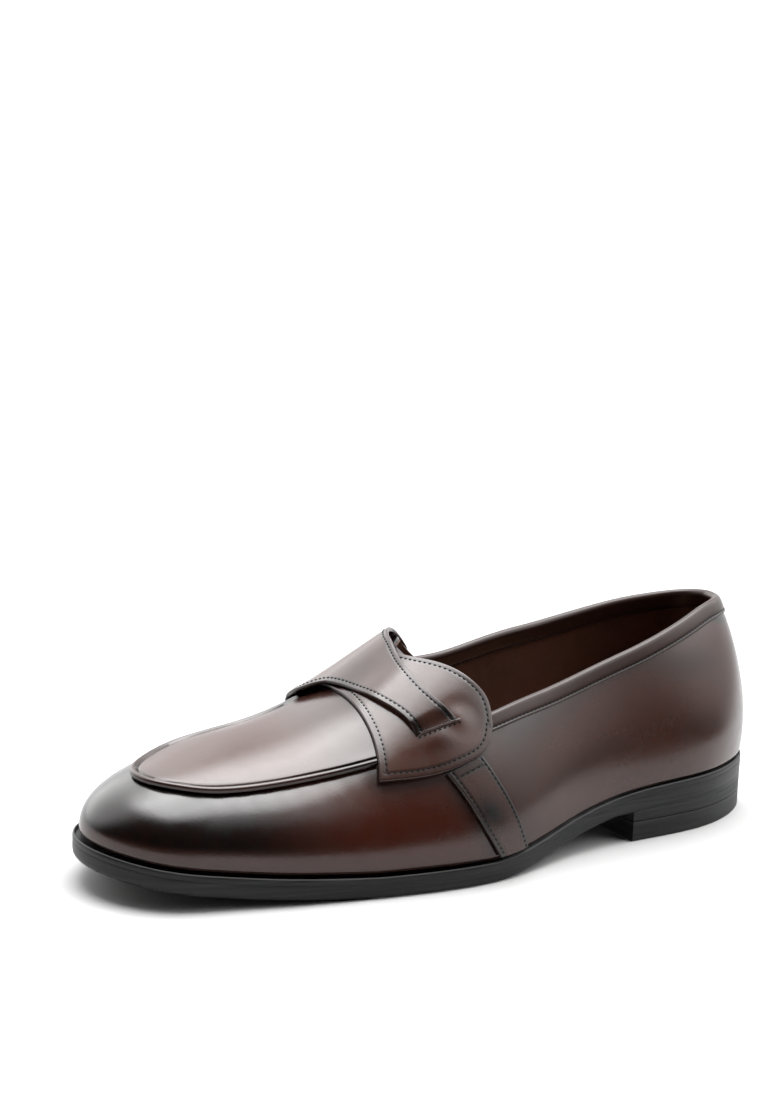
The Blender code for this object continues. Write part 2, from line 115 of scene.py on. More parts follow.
def spline(xs: Array, ys: Array, x: Array) -> Array:
    """Natural cubic spline.

    Args:
        xs: rising positions of the rows.
        ys: values at those positions.
        x: positions to read.

    Returns:
        The values at x.
    """
    xs, ys, x = (np.asarray(k, float) for k in (xs, ys, x))
    n = len(xs)
    h = np.diff(xs)
    m = np.eye(n)
    b = np.zeros(n)
    for i in range(1, n - 1):
        m[i, i - 1:i + 2] = h[i - 1], 2 * (h[i - 1] + h[i]), h[i]
        b[i] = 3 * ((ys[i + 1] - ys[i]) / h[i] - (ys[i] - ys[i - 1]) / h[i - 1])
    c = np.linalg.solve(m, b)
    s = np.diff(ys) / h - h * (2 * c[:-1] + c[1:]) / 3
    d = np.diff(c) / (3 * h)
    i = np.clip(np.searchsorted(xs, x) - 1, 0, n - 2)
    t = x - xs[i]
    return ys[i] + s[i] * t + c[i] * t * t + d[i] * t ** 3


def read(table: Table, column: int, x: Array) -> Array:
    """Spline through one column of a table, whose first column is the position."""
    rows = np.array(table)
    return spline(rows[:, 0], rows[:, column], x)


def ease(x: Array, low: float, high: float) -> Array:
    """Smooth step from 0 at low to 1 at high."""
    t = np.clip((np.asarray(x, float) - low) / (high - low), 0, 1)
    return t * t * (3 - 2 * t)


def hump(x: Array, centre: float, width: float) -> Array:
    """Soft bump of height 1 at centre."""
    return np.exp(-((np.asarray(x, float) - centre) / width) ** 2)


def unit(a: Array) -> Array:
    """Vectors scaled to length 1."""
    return a / np.maximum(np.linalg.norm(a, axis=-1, keepdims=True), 1e-12)


def nearest(points: Array, line: Array) -> tuple[Array, Array]:
    """Distance from each point to the nearest point of a line, and which one that is."""
    gaps = np.empty(len(points))
    which = np.empty(len(points), int)
    for i in range(0, len(points), BATCH):
        d = np.linalg.norm(points[i:i + BATCH, None] - line[None], axis=2)
        which[i:i + BATCH] = d.argmin(1)
        gaps[i:i + BATCH] = d.min(1)
    return gaps, which


def corners(ids: Array) -> Array:
    """Point numbers of the faces between the rows and columns of a grid of point numbers."""
    return np.stack([ids[:-1, :-1], ids[1:, :-1], ids[1:, 1:], ids[:-1, 1:]], -1).reshape(-1, 4)


def sided(v: Array, side: Side) -> Array:
    """Shares of one side, with those on the crown kept on that side."""
    return np.where(np.abs(v) < 1e-9, side.value * CROWN, v)


def along(table: Table, s: Array) -> Array:
    """Points at shares s of an outline table, rounded between its rows."""
    rows = np.array(table)
    if len(rows) == 2:
        return rows[0] + np.asarray(s)[:, None] * (rows[1] - rows[0])
    k = np.r_[0, np.cumsum(np.hypot(np.diff(rows[:, 0]) / RIB_LENGTH, np.diff(rows[:, 1])))]
    k = k / k[-1]
    return np.stack([spline(k, rows[:, i], s) for i in (0, 1)], -1)


def spread(size: float, step: float) -> Array:
    """Shares from 0 to 1 that lie close together at both ends, for an edge that is rolled.

    Args:
        size: length that the shares run over.
        step: spacing in the middle.

    Returns:
        Rising shares.
    """
    most = 0.45
    close = np.array(ROLL_ROWS) / size
    close = close[close < most]
    mid = np.linspace(close[-1], 1 - close[-1], max(3, int(size * (1 - 2 * close[-1]) / step)))
    return np.r_[close, mid[1:-1], 1 - close[::-1]]


@dataclass(frozen=True)
class Last:
    """The form that every piece follows: ribs from the crown line down to the feather on either side."""

    shift: Triple = (0.0, 0.0, 0.0)
    length: float = 300.0
    sole_thick: float = 7.9
    wall: float = 2.0
    gap: float = 0.35
    # station, lateral half width, medial half width
    plan: Table = ((0.05, 22.1, 21.5), (0.12, 32.6, 31.0), (0.20, 37.0, 33.8), (0.30, 38.8, 31.0),
                   (0.40, 44.6, 28.0), (0.50, 53.6, 30.0), (0.60, 55.2, 38.0), (0.70, 51.4, 46.5),
                   (0.80, 45.8, 47.5), (0.88, 40.0, 42.0), (0.95, 30.5, 30.0))
    # station, height of the outsole's underside
    under: Table = ((0.00, 15.5), (0.13, 14.6), (0.26, 12.9), (0.36, 8.4), (0.45, 2.9), (0.52, 0.1),
                    (0.60, -0.5), (0.68, 0.0), (0.74, 1.0), (0.82, 2.9), (0.91, 6.2), (1.00, 10.4))
    # station, welt left showing
    welt: Table = ((0.00, 0.7), (0.42, 0.9), (0.62, 2.2), (1.00, 2.4))
    # station, height, sideways offset of the crown line
    crown: Table = ((0.085, 104.0, 0.0), (0.16, 109.2, -1.0), (0.30, 113.4, -3.0), (0.42, 99.2, -5.0),
                    (0.50, 89.5, -6.0), (0.58, 75.5, -7.5), (0.66, 59.5, -9.5), (0.72, 51.5, -10.5),
                    (0.80, 46.5, -9.0), (0.85, 44.0, -6.0))
    # station, then bulge, rise and reach of the lateral and of the medial rib
    ribs: Table = ((0.00, 8.0, 33.3, -0.03, 8.0, 33.3, -0.03), (0.035, 4.2, 34.4, 0.59, 4.2, 34.4, 0.59),
                   (0.10, 4.3, 37.0, 0.62, 4.3, 37.0, 0.62), (0.25, 1.3, 37.2, 0.59, 3.5, 36.6, 0.52),
                   (0.40, 2.0, 34.0, 0.55, 6.0, 36.0, 0.55), (0.55, 2.0, 30.0, 0.55, 6.0, 32.0, 0.55),
                   (0.70, 2.5, 25.0, 0.58, 3.0, 25.0, 0.60), (0.85, 2.5, 21.0, 0.63, 2.5, 20.0, 0.62),
                   (1.00, 1.5, 15.0, 0.62, 1.5, 15.0, 0.62))
    # rib, share of the rib kept on the lateral and on the medial side, along the collar
    collar: Table = ((0.000, 0.698, 0.698), (0.050, 0.699, 0.697), (0.100, 0.698, 0.690),
                     (0.140, 0.687, 0.671), (0.175, 0.660, 0.641), (0.210, 0.616, 0.606),
                     (0.240, 0.5725, 0.576), (0.275, 0.527, 0.542), (0.310, 0.489, 0.514),
                     (0.345, 0.462, 0.4975), (0.375, 0.452, 0.4965), (0.405, 0.453, 0.511),
                     (0.435, 0.463, 0.529), (0.470, 0.4815, 0.544), (0.490, 0.489, 0.554),
                     (0.511, 0.4925, 0.575))
    # the same under the wing and the strap
    throat: Table = ((0.511, 0.4925, 0.575), (0.517, 0.545, 0.601), (0.524, 0.597, 0.632),
                     (0.536, 0.665, 0.700), (0.550, 0.730, 0.795), (0.562, 0.785, 0.885),
                     (0.574, 0.850, 0.955), (0.581, 0.930, 0.985), (0.584, 1.000, 1.000))
    # first and last rib that a search for a point looks at, and how often it halves them
    searched: tuple[float, float] = (0.02, 0.98)
    halvings: int = 26

    @classmethod
    def fitted(cls) -> Last:
        """The last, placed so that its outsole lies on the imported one."""
        form = cls()
        low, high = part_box("outsole")
        widest = form.half_width(np.linspace(0, 1, 2001), Side.LATERAL).max()
        return cls(shift=((low.x + high.x) / 2 / MM, high.y / MM - widest, 0.0))

    def place(self, points: Array) -> Array:
        """Points of the last in metres of the row frame."""
        return (np.asarray(points) + np.array(self.shift)) * MM

    def half_width(self, a: Array, side: Side) -> Array:
        """Half width of the outsole at station a, rounded at both ends."""
        rows = np.array(self.plan)
        st = rows[:, 0]
        g = rows[:, side.column] / np.sqrt(4 * st * (1 - st))
        full = spline(np.r_[0, st, 1], np.r_[g[0], g, g[-1]], a)
        return full * np.sqrt(np.maximum(4 * a * (1 - a), 0))

    def sole_under(self, x: Array) -> Array:
        """Height of the outsole's underside at x."""
        return np.maximum(read(self.under, 1, np.clip(np.asarray(x) / self.length + 0.5, 0, 1)), 0.0)

    def sole_top(self, x: Array) -> Array:
        """Height of the outsole's top at x."""
        return self.sole_under(x) + self.sole_thick

    @staticmethod
    def station(u: Array) -> Array:
        """Station of a rib: ribs lie closer at toe and heel."""
        return (1 - np.cos(np.pi * np.asarray(u))) / 2

    def outline(self, u: Array, side: Side, inset: Array | float) -> tuple[Array, Array]:
        """Plan points of the outsole's outline.

        Args:
            u: rib numbers.
            side: side of the shoe.
            inset: distance inward from the outline.

        Returns:
            The points and their outward normals.
        """
        u = np.asarray(u, float)

        def edge(w: Array) -> Array:
            """Plan point at rib w."""
            a = self.station(w)
            return np.stack([(a - 0.5) * self.length, side.value * self.half_width(a, side)], -1)

        step = 1e-4
        t = edge(np.clip(u + step, 0, 1)) - edge(np.clip(u - step, 0, 1))
        n = unit(np.stack([t[..., 1], -t[..., 0]], -1) * (-side.value))
        tip = (u < 1e-9) | (u > 1 - 1e-9)
        axis = np.stack([np.where(u < 0.5, -1.0, 1.0), np.zeros_like(u)], -1)
        n = np.where(tip[..., None], axis, n)
        return edge(u) - n * np.broadcast_to(inset, u.shape)[..., None], n

    def _half(self, u: Array, v: Array, side: Side) -> Array:
        """Point of one side of the last, v from the crown (0) to the feather (1)."""
        a = self.station(u)
        welt = np.array(self.welt)
        plan, n = self.outline(u, side, np.interp(a, welt[:, 0], welt[:, 1]))
        foot = np.concatenate([plan, self.sole_top(plan[..., 0])[..., None] + self.gap], -1)
        first, final = self.crown[0][0], self.crown[-1][0]
        ra = first + (final - first) * a
        step = 1e-3
        slope = (read(self.crown, 1, ra + step) - read(self.crown, 1, ra - step)) / (2 * step * self.length)
        top = np.stack([(ra - 0.5) * self.length, read(self.crown, 2, ra), read(self.crown, 1, ra)], -1)
        col = 1 if side is Side.LATERAL else 4
        bulge, rise, reach = (read(self.ribs, col + i, a) for i in range(3))
        low = foot + np.concatenate([n * bulge[..., None], rise[..., None]], -1)
        d = (foot - top)[..., :2] * reach[..., None]
        high = top + np.concatenate([d, (slope * d[..., 0])[..., None]], -1)
        t = (1 - v)[..., None]
        s = v[..., None]
        return s ** 3 * foot + 3 * s * s * t * low + 3 * s * t * t * high + t ** 3 * top

    def point(self, u: Array, v: Array) -> Array:
        """Point at rib u and share v: 0 on the crown, 1 at the lateral feather, -1 at the medial one."""
        u, v = np.broadcast_arrays(np.asarray(u, float), np.asarray(v, float))
        lateral, medial = (self._half(u, np.abs(v), side) for side in Side)
        return np.where((v >= 0)[..., None], lateral, medial)

    def normal(self, u: Array, v: Array) -> Array:
        """Outward normal at rib u and share v."""
        e = 1e-3
        u = np.clip(u, e, 1 - e)
        w = np.where(np.asarray(v) >= 0, 1.0, -1.0) * np.clip(np.abs(v), 2 * e, 1 - e)
        du = self.point(u + e, w) - self.point(u - e, w)
        dv = self.point(u, w + e) - self.point(u, w - e)
        return unit(np.cross(du, dv))

    def rib_at(self, x: Array, v: Array) -> Array:
        """Rib number of the point at x and share v."""
        x, v = np.broadcast_arrays(np.asarray(x, float), np.asarray(v, float))
        lo, hi = (np.full(x.shape, k) for k in self.searched)
        for _ in range(self.halvings):
            mid = (lo + hi) / 2
            less = self.point(mid, v)[..., 0] < x
            lo = np.where(less, mid, lo)
            hi = np.where(less, hi, mid)
        return (lo + hi) / 2

    def collar_share(self, u: Array, side: Side) -> Array:
        """Share of a rib that lies below the collar."""
        return read(self.collar, side.column, u)

    def kept(self, u: Array, side: Side) -> Array:
        """Share of a rib that the upper keeps, along the collar and then the throat."""
        throat = np.clip(read(self.throat, side.column, u), 0, 1)
        throat = np.where(u >= self.throat[-1][0], 1.0, throat)
        return np.where(u < self.throat[0][0], self.collar_share(u, side), throat)

    def slope(self, u: Array, v: Array) -> Array:
        """Millimetres along a rib for one unit of v."""
        step = 0.01
        e = step * np.where(np.asarray(v) >= 0, 1.0, -1.0)
        return np.linalg.norm(self.point(u, v + e) - self.point(u, v), axis=-1) / step

    def trace(self, table: Table, count: int = 160) -> tuple[Array, Array]:
        """Points on the last along an outline table of x and v, and the normals there."""
        x, v = along(table, np.linspace(0, 1, count)).T
        u = self.rib_at(x, v)
        return self.point(u, v), self.normal(u, v)

    def line(self, table: Table, count: int = 160) -> Array:
        """Points on the last along an outline table of x and v."""
        return self.trace(table, count)[0]


class Nodes:
    """Short calls that place shader nodes in one material."""

    def __init__(self, name: str) -> None:
        """Start a material that has a Principled shader."""
        self.mat = bpy.data.materials.new(name)
        self.mat.use_nodes = True
        self.tree = self.mat.node_tree
        self.shader = self.tree.nodes["Principled BSDF"]
        self.coords = self.add("ShaderNodeTexCoord").outputs["Object"]

    def add(self, kind: str, **settings: object) -> bpy.types.Node:
        """Add one node and set its properties."""
        node = self.tree.nodes.new(kind)
        for key, value in settings.items():
            setattr(node, key, value)
        return node

    def feed(self, socket: bpy.types.NodeSocket, value: object) -> None:
        """Link an output to a socket, or set the socket's own value."""
        if isinstance(value, bpy.types.NodeSocket):
            self.tree.links.new(value, socket)
        else:
            socket.default_value = (*value, 1.0) if isinstance(value, tuple) and len(value) == 3 else value

    def noise(self, scale: float, detail: float = 2.0, rough: float = 0.5,
              coords: bpy.types.NodeSocket | None = None) -> bpy.types.NodeSocket:
        """Noise value, with the scale given per metre."""
        node = self.add("ShaderNodeTexNoise")
        self.feed(node.inputs["Vector"], coords or self.coords)
        self.feed(node.inputs["Scale"], scale)
        self.feed(node.inputs["Detail"], detail)
        self.feed(node.inputs["Roughness"], rough)
        return node.outputs["Fac"]

    def cells(self, scale: float) -> bpy.types.NodeSocket:
        """Distance within small rounded cells, with the scale given per metre."""
        node = self.add("ShaderNodeTexVoronoi", feature="SMOOTH_F1")
        self.feed(node.inputs["Vector"], self.coords)
        self.feed(node.inputs["Scale"], scale)
        return node.outputs["Distance"]

    def stretched(self, scale: Triple) -> bpy.types.NodeSocket:
        """Coordinates scaled by axis, for streaks."""
        node = self.add("ShaderNodeMapping")
        self.feed(node.inputs["Vector"], self.coords)
        node.inputs["Scale"].default_value = scale
        return node.outputs["Vector"]

    def painted(self, name: str) -> bpy.types.NodeSocket:
        """A value painted on the mesh."""
        return self.add("ShaderNodeAttribute", attribute_name=name).outputs["Fac"]

    def math(self, operation: str, a: object, b: object = 0.0, clamp: bool = False) -> bpy.types.NodeSocket:
        """One sum of two values."""
        node = self.add("ShaderNodeMath", operation=operation, use_clamp=clamp)
        self.feed(node.inputs[0], a)
        self.feed(node.inputs[1], b)
        return node.outputs[0]

    def between(self, value: object, low: float, high: float, to_low: float = 0.0,
                to_high: float = 1.0) -> bpy.types.NodeSocket:
        """Value mapped from one range to another, held at the ends."""
        node = self.add("ShaderNodeMapRange", clamp=True)
        for i, k in enumerate((value, low, high, to_low, to_high)):
            self.feed(node.inputs[i], k)
        return node.outputs[0]

    def blend(self, share: object, a: object, b: object) -> bpy.types.NodeSocket:
        """Colour between a and b."""
        node = self.add("ShaderNodeMix", data_type="RGBA")
        self.feed(node.inputs[0], share)
        self.feed(node.inputs[6], a)
        self.feed(node.inputs[7], b)
        return node.outputs[2]

    def bump(self, height: bpy.types.NodeSocket, strength: float, depth: float,
             under: bpy.types.NodeSocket | None = None) -> bpy.types.NodeSocket:
        """Normal with relief of a depth in metres, on top of another one."""
        node = self.add("ShaderNodeBump")
        self.feed(node.inputs["Strength"], strength)
        self.feed(node.inputs["Distance"], depth)
        self.feed(node.inputs["Height"], height)
        if under is not None:
            self.feed(node.inputs["Normal"], under)
        return node.outputs["Normal"]

    def dress(self, **values: object) -> bpy.types.Material:
        """Feed the Principled shader's sockets, with spaces in their names written as underscores."""
        for key, value in values.items():
            self.feed(self.shader.inputs[key.replace("_", " ")], value)
        return self.mat


@dataclass(frozen=True)
class Calf:
    """Burnished calf: warm brown that darkens where the value burnish is painted, which holds both burnishing
    and painted shade.
    """

    name: str
    brown: Colour = (0.043, 0.0170, 0.0117)
    red: Colour = (0.034, 0.0070, 0.0035)
    dark: Colour = (0.0020, 0.0013, 0.0011)
    rough: float = 0.21
    grain: float = 0.06
    gloss: float = 0.5
    coat: float = 0.08
    coat_rough: float = 0.2
    # marks per metre
    clouds: float = 26.0
    mottles: float = 210.0
    pores: float = 1500.0
    pits: float = 700.0
    waves: float = 120.0

    def material(self) -> bpy.types.Material:
        """Make the material."""
        n = Nodes(self.name)
        cloud = n.between(n.noise(self.clouds, 3.0), 0.36, 0.66)
        mottle = n.noise(self.mottles, 4.0, 0.6)
        warm = n.math("ADD", n.painted("warm"), n.math("MULTIPLY", cloud, 0.18), clamp=True)
        colour = n.blend(warm, self.brown, self.red)
        shade = n.math("MULTIPLY", n.math("SUBTRACT", mottle, 0.5), 0.35)
        # share of the dark tone: painted burnishing and painted shade, with random mottling
        burnish_and_shade_share = n.math("ADD", n.painted("burnish"), shade, clamp=True)
        colour = n.blend(burnish_and_shade_share, colour, self.dark)
        pores = n.math("ADD", n.cells(self.pores), n.math("MULTIPLY", n.noise(self.pits, 2.0), 0.8))
        normal = n.bump(pores, self.grain, 0.2 * MM)
        normal = n.bump(n.noise(self.waves, 2.0), 0.06, 0.5 * MM, normal)
        rough = n.between(mottle, 0.25, 0.75, self.rough - 0.05, self.rough + 0.05)
        return n.dress(Base_Color=colour, Roughness=rough, Normal=normal, Specular_IOR_Level=self.gloss,
                       Coat_Weight=self.coat, Coat_Roughness=self.coat_rough)


@dataclass(frozen=True)
class LiningLeather:
    """Plain lining leather, matt, a little darker in blotches."""

    name: str
    base: Colour
    deep: Colour
    rough: float = 0.55
    # marks per metre
    blotches: float = 45.0
    pores: float = 1700.0
    creases: float = 420.0
    wear: float = 150.0

    def material(self) -> bpy.types.Material:
        """Make the material."""
        n = Nodes(self.name)
        blotch = n.between(n.noise(self.blotches, 4.0, 0.6), 0.3, 0.7)
        relief = n.math("ADD", n.cells(self.pores), n.noise(self.creases, 3.0))
        normal = n.bump(relief, 0.18, 0.3 * MM)
        rough = n.between(n.noise(self.wear), 0.3, 0.7, self.rough - 0.06, self.rough + 0.06)
        return n.dress(Base_Color=n.blend(blotch, self.base, self.deep), Roughness=rough, Normal=normal)


@dataclass(frozen=True)
class Rubber:
    """Black sole edge with fine streaks that run along it."""

    name: str
    base: Colour = (0.006, 0.006, 0.0063)
    pale: Colour = (0.022, 0.022, 0.0225)
    rough: float = 0.40
    gloss: float = 0.22
    # marks per metre, along, across and up
    streaks: Triple = (22.0, 22.0, 850.0)
    specks: float = 700.0

    def material(self) -> bpy.types.Material:
        """Make the material."""
        n = Nodes(self.name)
        streak = n.noise(1.0, 3.0, 0.6, n.stretched(self.streaks))
        speck = n.noise(self.specks, 3.0)
        colour = n.blend(n.between(streak, 0.35, 0.75), self.base, self.pale)
        normal = n.bump(n.math("ADD", streak, n.math("MULTIPLY", speck, 0.5)), 0.22, 0.3 * MM)
        rough = n.between(streak, 0.3, 0.7, self.rough - 0.06, self.rough + 0.1)
        return n.dress(Base_Color=colour, Roughness=rough, Normal=normal, Specular_IOR_Level=self.gloss)


@dataclass(frozen=True)
class Thread:
    """Waxed thread, with a twist along each stitch."""

    name: str
    base: Colour = (0.0022, 0.0019, 0.0018)
    pale: Colour = (0.0050, 0.0042, 0.0038)
    gloss: float = 0.12
    # strands per metre
    strands: float = 2600.0

    def material(self) -> bpy.types.Material:
        """Make the material."""
        n = Nodes(self.name)
        twist = n.noise(self.strands, 2.0)
        rough = n.between(twist, 0.3, 0.7, 0.65, 0.8)
        return n.dress(Base_Color=n.blend(twist, self.base, self.pale), Roughness=rough,
                       Normal=n.bump(twist, 0.4, 0.2 * MM), Specular_IOR_Level=self.gloss)


@dataclass(frozen=True)
class Paper:
    """Plain pale paper."""

    name: str
    grey: float = 0.46

    def material(self) -> bpy.types.Material:
        """Make the material."""
        n = Nodes(self.name)
        tone = n.noise(3.0, 2.0)
        colour = n.blend(tone, 3 * (self.grey,), 3 * (0.985 * self.grey,))
        return n.dress(Base_Color=colour, Roughness=n.between(tone, 0.3, 0.7, 0.85, 0.95))


class Draft:
    """Points, faces and painted values of one piece while it is built, in millimetres."""

    def __init__(self) -> None:
        """Start with nothing."""
        self.points: list[Array] = []
        self.faces: list[tuple[int, ...]] = []
        # burnish holds burnishing and painted shade; warm is the share of the red tone
        self.values: dict[str, list[Array]] = {"burnish": [], "warm": []}
        self.count = 0

    def put(self, points: Array, **values: Array) -> Array:
        """Add points of any grid shape.

        Args:
            points: the points, with any leading shape.
            values: painted values of the same leading shape, or single numbers.

        Returns:
            The numbers of the points, in that shape.
        """
        shape = points.shape[:-1]
        size = int(np.prod(shape))
        self.points.append(points.reshape(-1, 3))
        for key, rows in self.values.items():
            rows.append(np.broadcast_to(values.get(key, 0.0), shape).reshape(-1))
        self.count += size
        return np.arange(self.count - size, self.count).reshape(shape)

    def quads(self, ids: Array, wrap: bool = False) -> None:
        """Faces between the rows and columns of a grid, closed along the columns if asked."""
        if wrap:
            ids = np.concatenate([ids, ids[:, :1]], 1)
        self.faces += [tuple(f) for f in corners(ids).tolist()]

    def caps(self, ids: Array) -> None:
        """Faces that close both ends of a tube."""
        self.faces += [tuple(ids[0].tolist()), tuple(ids[-1][::-1].tolist())]

    def piece(self, last: Last, name: str, finish: bpy.types.Material, slot: str,
              nodes: tuple[str, ...] = ()) -> None:
        """Make the welded object and put it on the shoe's body.

        Args:
            last: the form, which knows where the row frame is.
            name: name of the piece.
            finish: its material.
            slot: the record's material slot; not used.
            nodes: CAD nodes that it stands for.
        """
        mesh = bpy.data.meshes.new(name)
        mesh.from_pydata(last.place(np.vstack(self.points)).tolist(), [], self.faces)
        for key, rows in self.values.items():
            layer = mesh.attributes.new(key, "FLOAT", "POINT")
            layer.data.foreach_set("value", np.concatenate(rows).astype(np.float32))
        bm = bmesh.new()
        bm.from_mesh(mesh)
        bmesh.ops.remove_doubles(bm, verts=bm.verts, dist=WELD)
        bmesh.ops.dissolve_degenerate(bm, edges=bm.edges, dist=WELD / 2)
        bmesh.ops.recalc_face_normals(bm, faces=bm.faces)
        bm.to_mesh(mesh)
        bm.free()
        mesh.shade_smooth()
        mesh.set_sharp_from_angle(angle=SHARP_ANGLE)
        mesh.materials.append(finish)
        obj = bpy.data.objects.new(name, mesh)
        bpy.context.scene.collection.objects.link(obj)
        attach(obj, "root")
        if nodes:
            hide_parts(*nodes)
        LOG.info("%s: %d faces", name, len(mesh.polygons))


class Skin:
    """A sheet of the last's surface, welded from grids of rib and share, with its border."""

    def __init__(self, last: Last, grids: list[tuple[Array, Array]]) -> None:
        """Weld the grids.

        Args:
            last: the form.
            grids: pairs of rib and share grids.
        """
        u = np.concatenate([g[0].reshape(-1) for g in grids])
        v = np.concatenate([g[1].reshape(-1) for g in grids])
        points = last.point(u, v)
        _, first, inverse = np.unique(np.round(points, 3), axis=0, return_index=True, return_inverse=True)
        inverse = inverse.reshape(-1)
        self.u, self.v, self.points = u[first], v[first], points[first]
        total = np.zeros((len(first), 3))
        np.add.at(total, inverse, last.normal(u, v))
        self.normals = unit(total)
        quads = []
        start = 0
        for g in grids:
            ids = inverse[start:start + g[0].size].reshape(g[0].shape)
            start += g[0].size
            quads.append(corners(ids))
        quads = np.vstack(quads)
        p = self.points[quads]
        facing = np.einsum("ij,ij->i", np.cross(p[:, 2] - p[:, 0], p[:, 3] - p[:, 1]),
                           self.normals[quads].sum(1))
        quads[facing < 0] = quads[facing < 0][:, ::-1]
        self.faces: list[list[int]] = []
        for q in quads.tolist():
            f = [a for a, b in zip(q, q[1:] + q[:1]) if a != b]
            if len(set(f)) == len(f) and len(f) > 2:
                self.faces.append(f)
        self._border()

    def _border(self) -> None:
        """Find the border's edges and the direction out of the sheet at its points."""
        size = len(self.points)
        pairs = np.array([(a, b) for f in self.faces for a, b in zip(f, f[1:] + f[:1])])
        code = pairs[:, 0] * size + pairs[:, 1]
        self.edges = pairs[~np.isin(code, pairs[:, 1] * size + pairs[:, 0])]
        a, b = self.edges.T
        way = np.cross(self.points[b] - self.points[a], self.normals[a] + self.normals[b])
        out = np.zeros((size, 3))
        np.add.at(out, a, way)
        np.add.at(out, b, way)
        self.rim = np.unique(self.edges)
        self.out = unit(out)

    def solid(self, over: Array, below: Array, rows: Table = (), tuck: float = 0.0,
              rolled: Array | None = None, floor: Last | None = None, **values: Array) -> Draft:
        """Closed solid between two heights over the sheet.

        Args:
            over: height of the top at each point.
            below: height of the underside.
            rows: rows of the side wall, each a share of the height and a distance outward.
            tuck: how far the underside lies in from a rolled edge.
            rolled: numbers of the border points whose edge is rolled, all of them if not given.
            floor: the last whose sole the solid stands on, so that nothing goes below it.
            values: painted values at each point.

        Returns:
            The draft.
        """
        rolled = self.rim if rolled is None else rolled
        gap, which = nearest(self.points, self.points[rolled])
        way = self.out[rolled][which]
        top = self.points + over[:, None] * self.normals
        reach = 3.0
        inward = tuck * np.clip(1 - gap / reach, 0, 1)
        low = self.points + below[:, None] * self.normals - way * inward[:, None]
        if floor is not None:
            low[:, 2] = np.maximum(low[:, 2], floor.sole_top(low[:, 0]) + floor.gap)
        draft = Draft()
        ids = draft.put(top, **values)
        under = draft.put(low, **values)
        draft.faces += [tuple(int(ids[k]) for k in f) for f in self.faces]
        draft.faces += [tuple(int(under[k]) for k in reversed(f)) for f in self.faces]
        weight = np.zeros(len(self.points))
        weight[rolled] = 1.0
        ring = {int(k): i for i, k in enumerate(self.rim)}
        rim = self.rim
        stack = [ids[rim]]
        for share, outward in rows:
            height = below[rim] + share * (over[rim] - below[rim])
            spot = self.points[rim] + height[:, None] * self.normals[rim]
            spot = spot + (weight[rim] * outward)[:, None] * self.out[rim]
            stack.append(draft.put(spot, **{k: np.asarray(w)[rim] for k, w in values.items()}))
        stack.append(under[rim])
        stack = np.array(stack).tolist()
        for a, b in self.edges.tolist():
            i, j = ring[a], ring[b]
            for high, next_down in zip(stack, stack[1:]):
                draft.faces.append((high[j], high[i], next_down[i], next_down[j]))
        self.top = top
        return draft

    def tree(self) -> BVHTree:
        """Search tree over the top of the solid, in millimetres."""
        return BVHTree.FromPolygons(self.top.tolist(), self.faces)


@dataclass(frozen=True)
class Seam:
    """A row of stitches: spacing, length and thickness of each one."""

    pitch: float = 2.05
    length: float = 1.5
    radius: float = 0.32
    # turn off the row's line in degrees, and how far the ends go into the leather
    slant: float = 10.0
    sink: float = 0.30
    rings: int = 7
    sides: int = 6

    def stitch(self, draft: Draft, path: Array, surface: BVHTree, lift: float = 0.02) -> None:
        """Sew along a path.

        Args:
            draft: where the stitches are added.
            path: points of the path, in order.
            surface: what the stitches lie on.
            lift: height of the thread's middle over it.
        """
        run = np.r_[0, np.cumsum(np.linalg.norm(np.diff(path, axis=0), axis=1))]
        count = max(2, int(run[-1] / self.pitch))
        mid = (np.arange(count) + 0.5) * run[-1] / count
        spot = np.stack([np.interp(mid, run, path[:, i]) for i in range(3)], -1)
        ahead = np.stack([np.interp(mid + 0.5, run, path[:, i]) - np.interp(mid - 0.5, run, path[:, i])
                          for i in range(3)], -1)
        found = [surface.find_nearest(p) for p in spot.tolist()]
        spot = np.array([f[0] for f in found])
        up = np.array([f[1] for f in found])
        t = unit(ahead - (ahead * up).sum(1)[:, None] * up)
        w = np.cross(up, t)
        turn = math.radians(self.slant)
        t, w = t * math.cos(turn) + w * math.sin(turn), w * math.cos(turn) - t * math.sin(turn)
        share = np.linspace(-1, 1, self.rings)
        girth = self.radius * np.sqrt(np.clip(1 - np.abs(share) ** 3, 0, 1))
        height = lift - self.sink * share ** 2
        angle = np.linspace(0, 2 * np.pi, self.sides, endpoint=False)
        ring = (spot[:, None, None] + t[:, None, None] * (share * self.length / 2)[None, :, None, None]
                + up[:, None, None] * (height[:, None] + girth[:, None] * np.sin(angle))[None, :, :, None]
                + w[:, None, None] * (girth[:, None] * np.cos(angle))[None, :, :, None])
        for one in ring:
            draft.quads(draft.put(one), wrap=True)


@dataclass(frozen=True)
class Patch:
    """Soft patch on a piece: its strength, and its place and reach in x and in share of the rib."""

    strength: float
    x: float
    x_reach: float
    v: float
    v_reach: float

    def at(self, x: Array, v: Array) -> Array:
        """Strength at x and v."""
        return self.strength * hump(x, self.x, self.x_reach) * hump(v, self.v, self.v_reach)


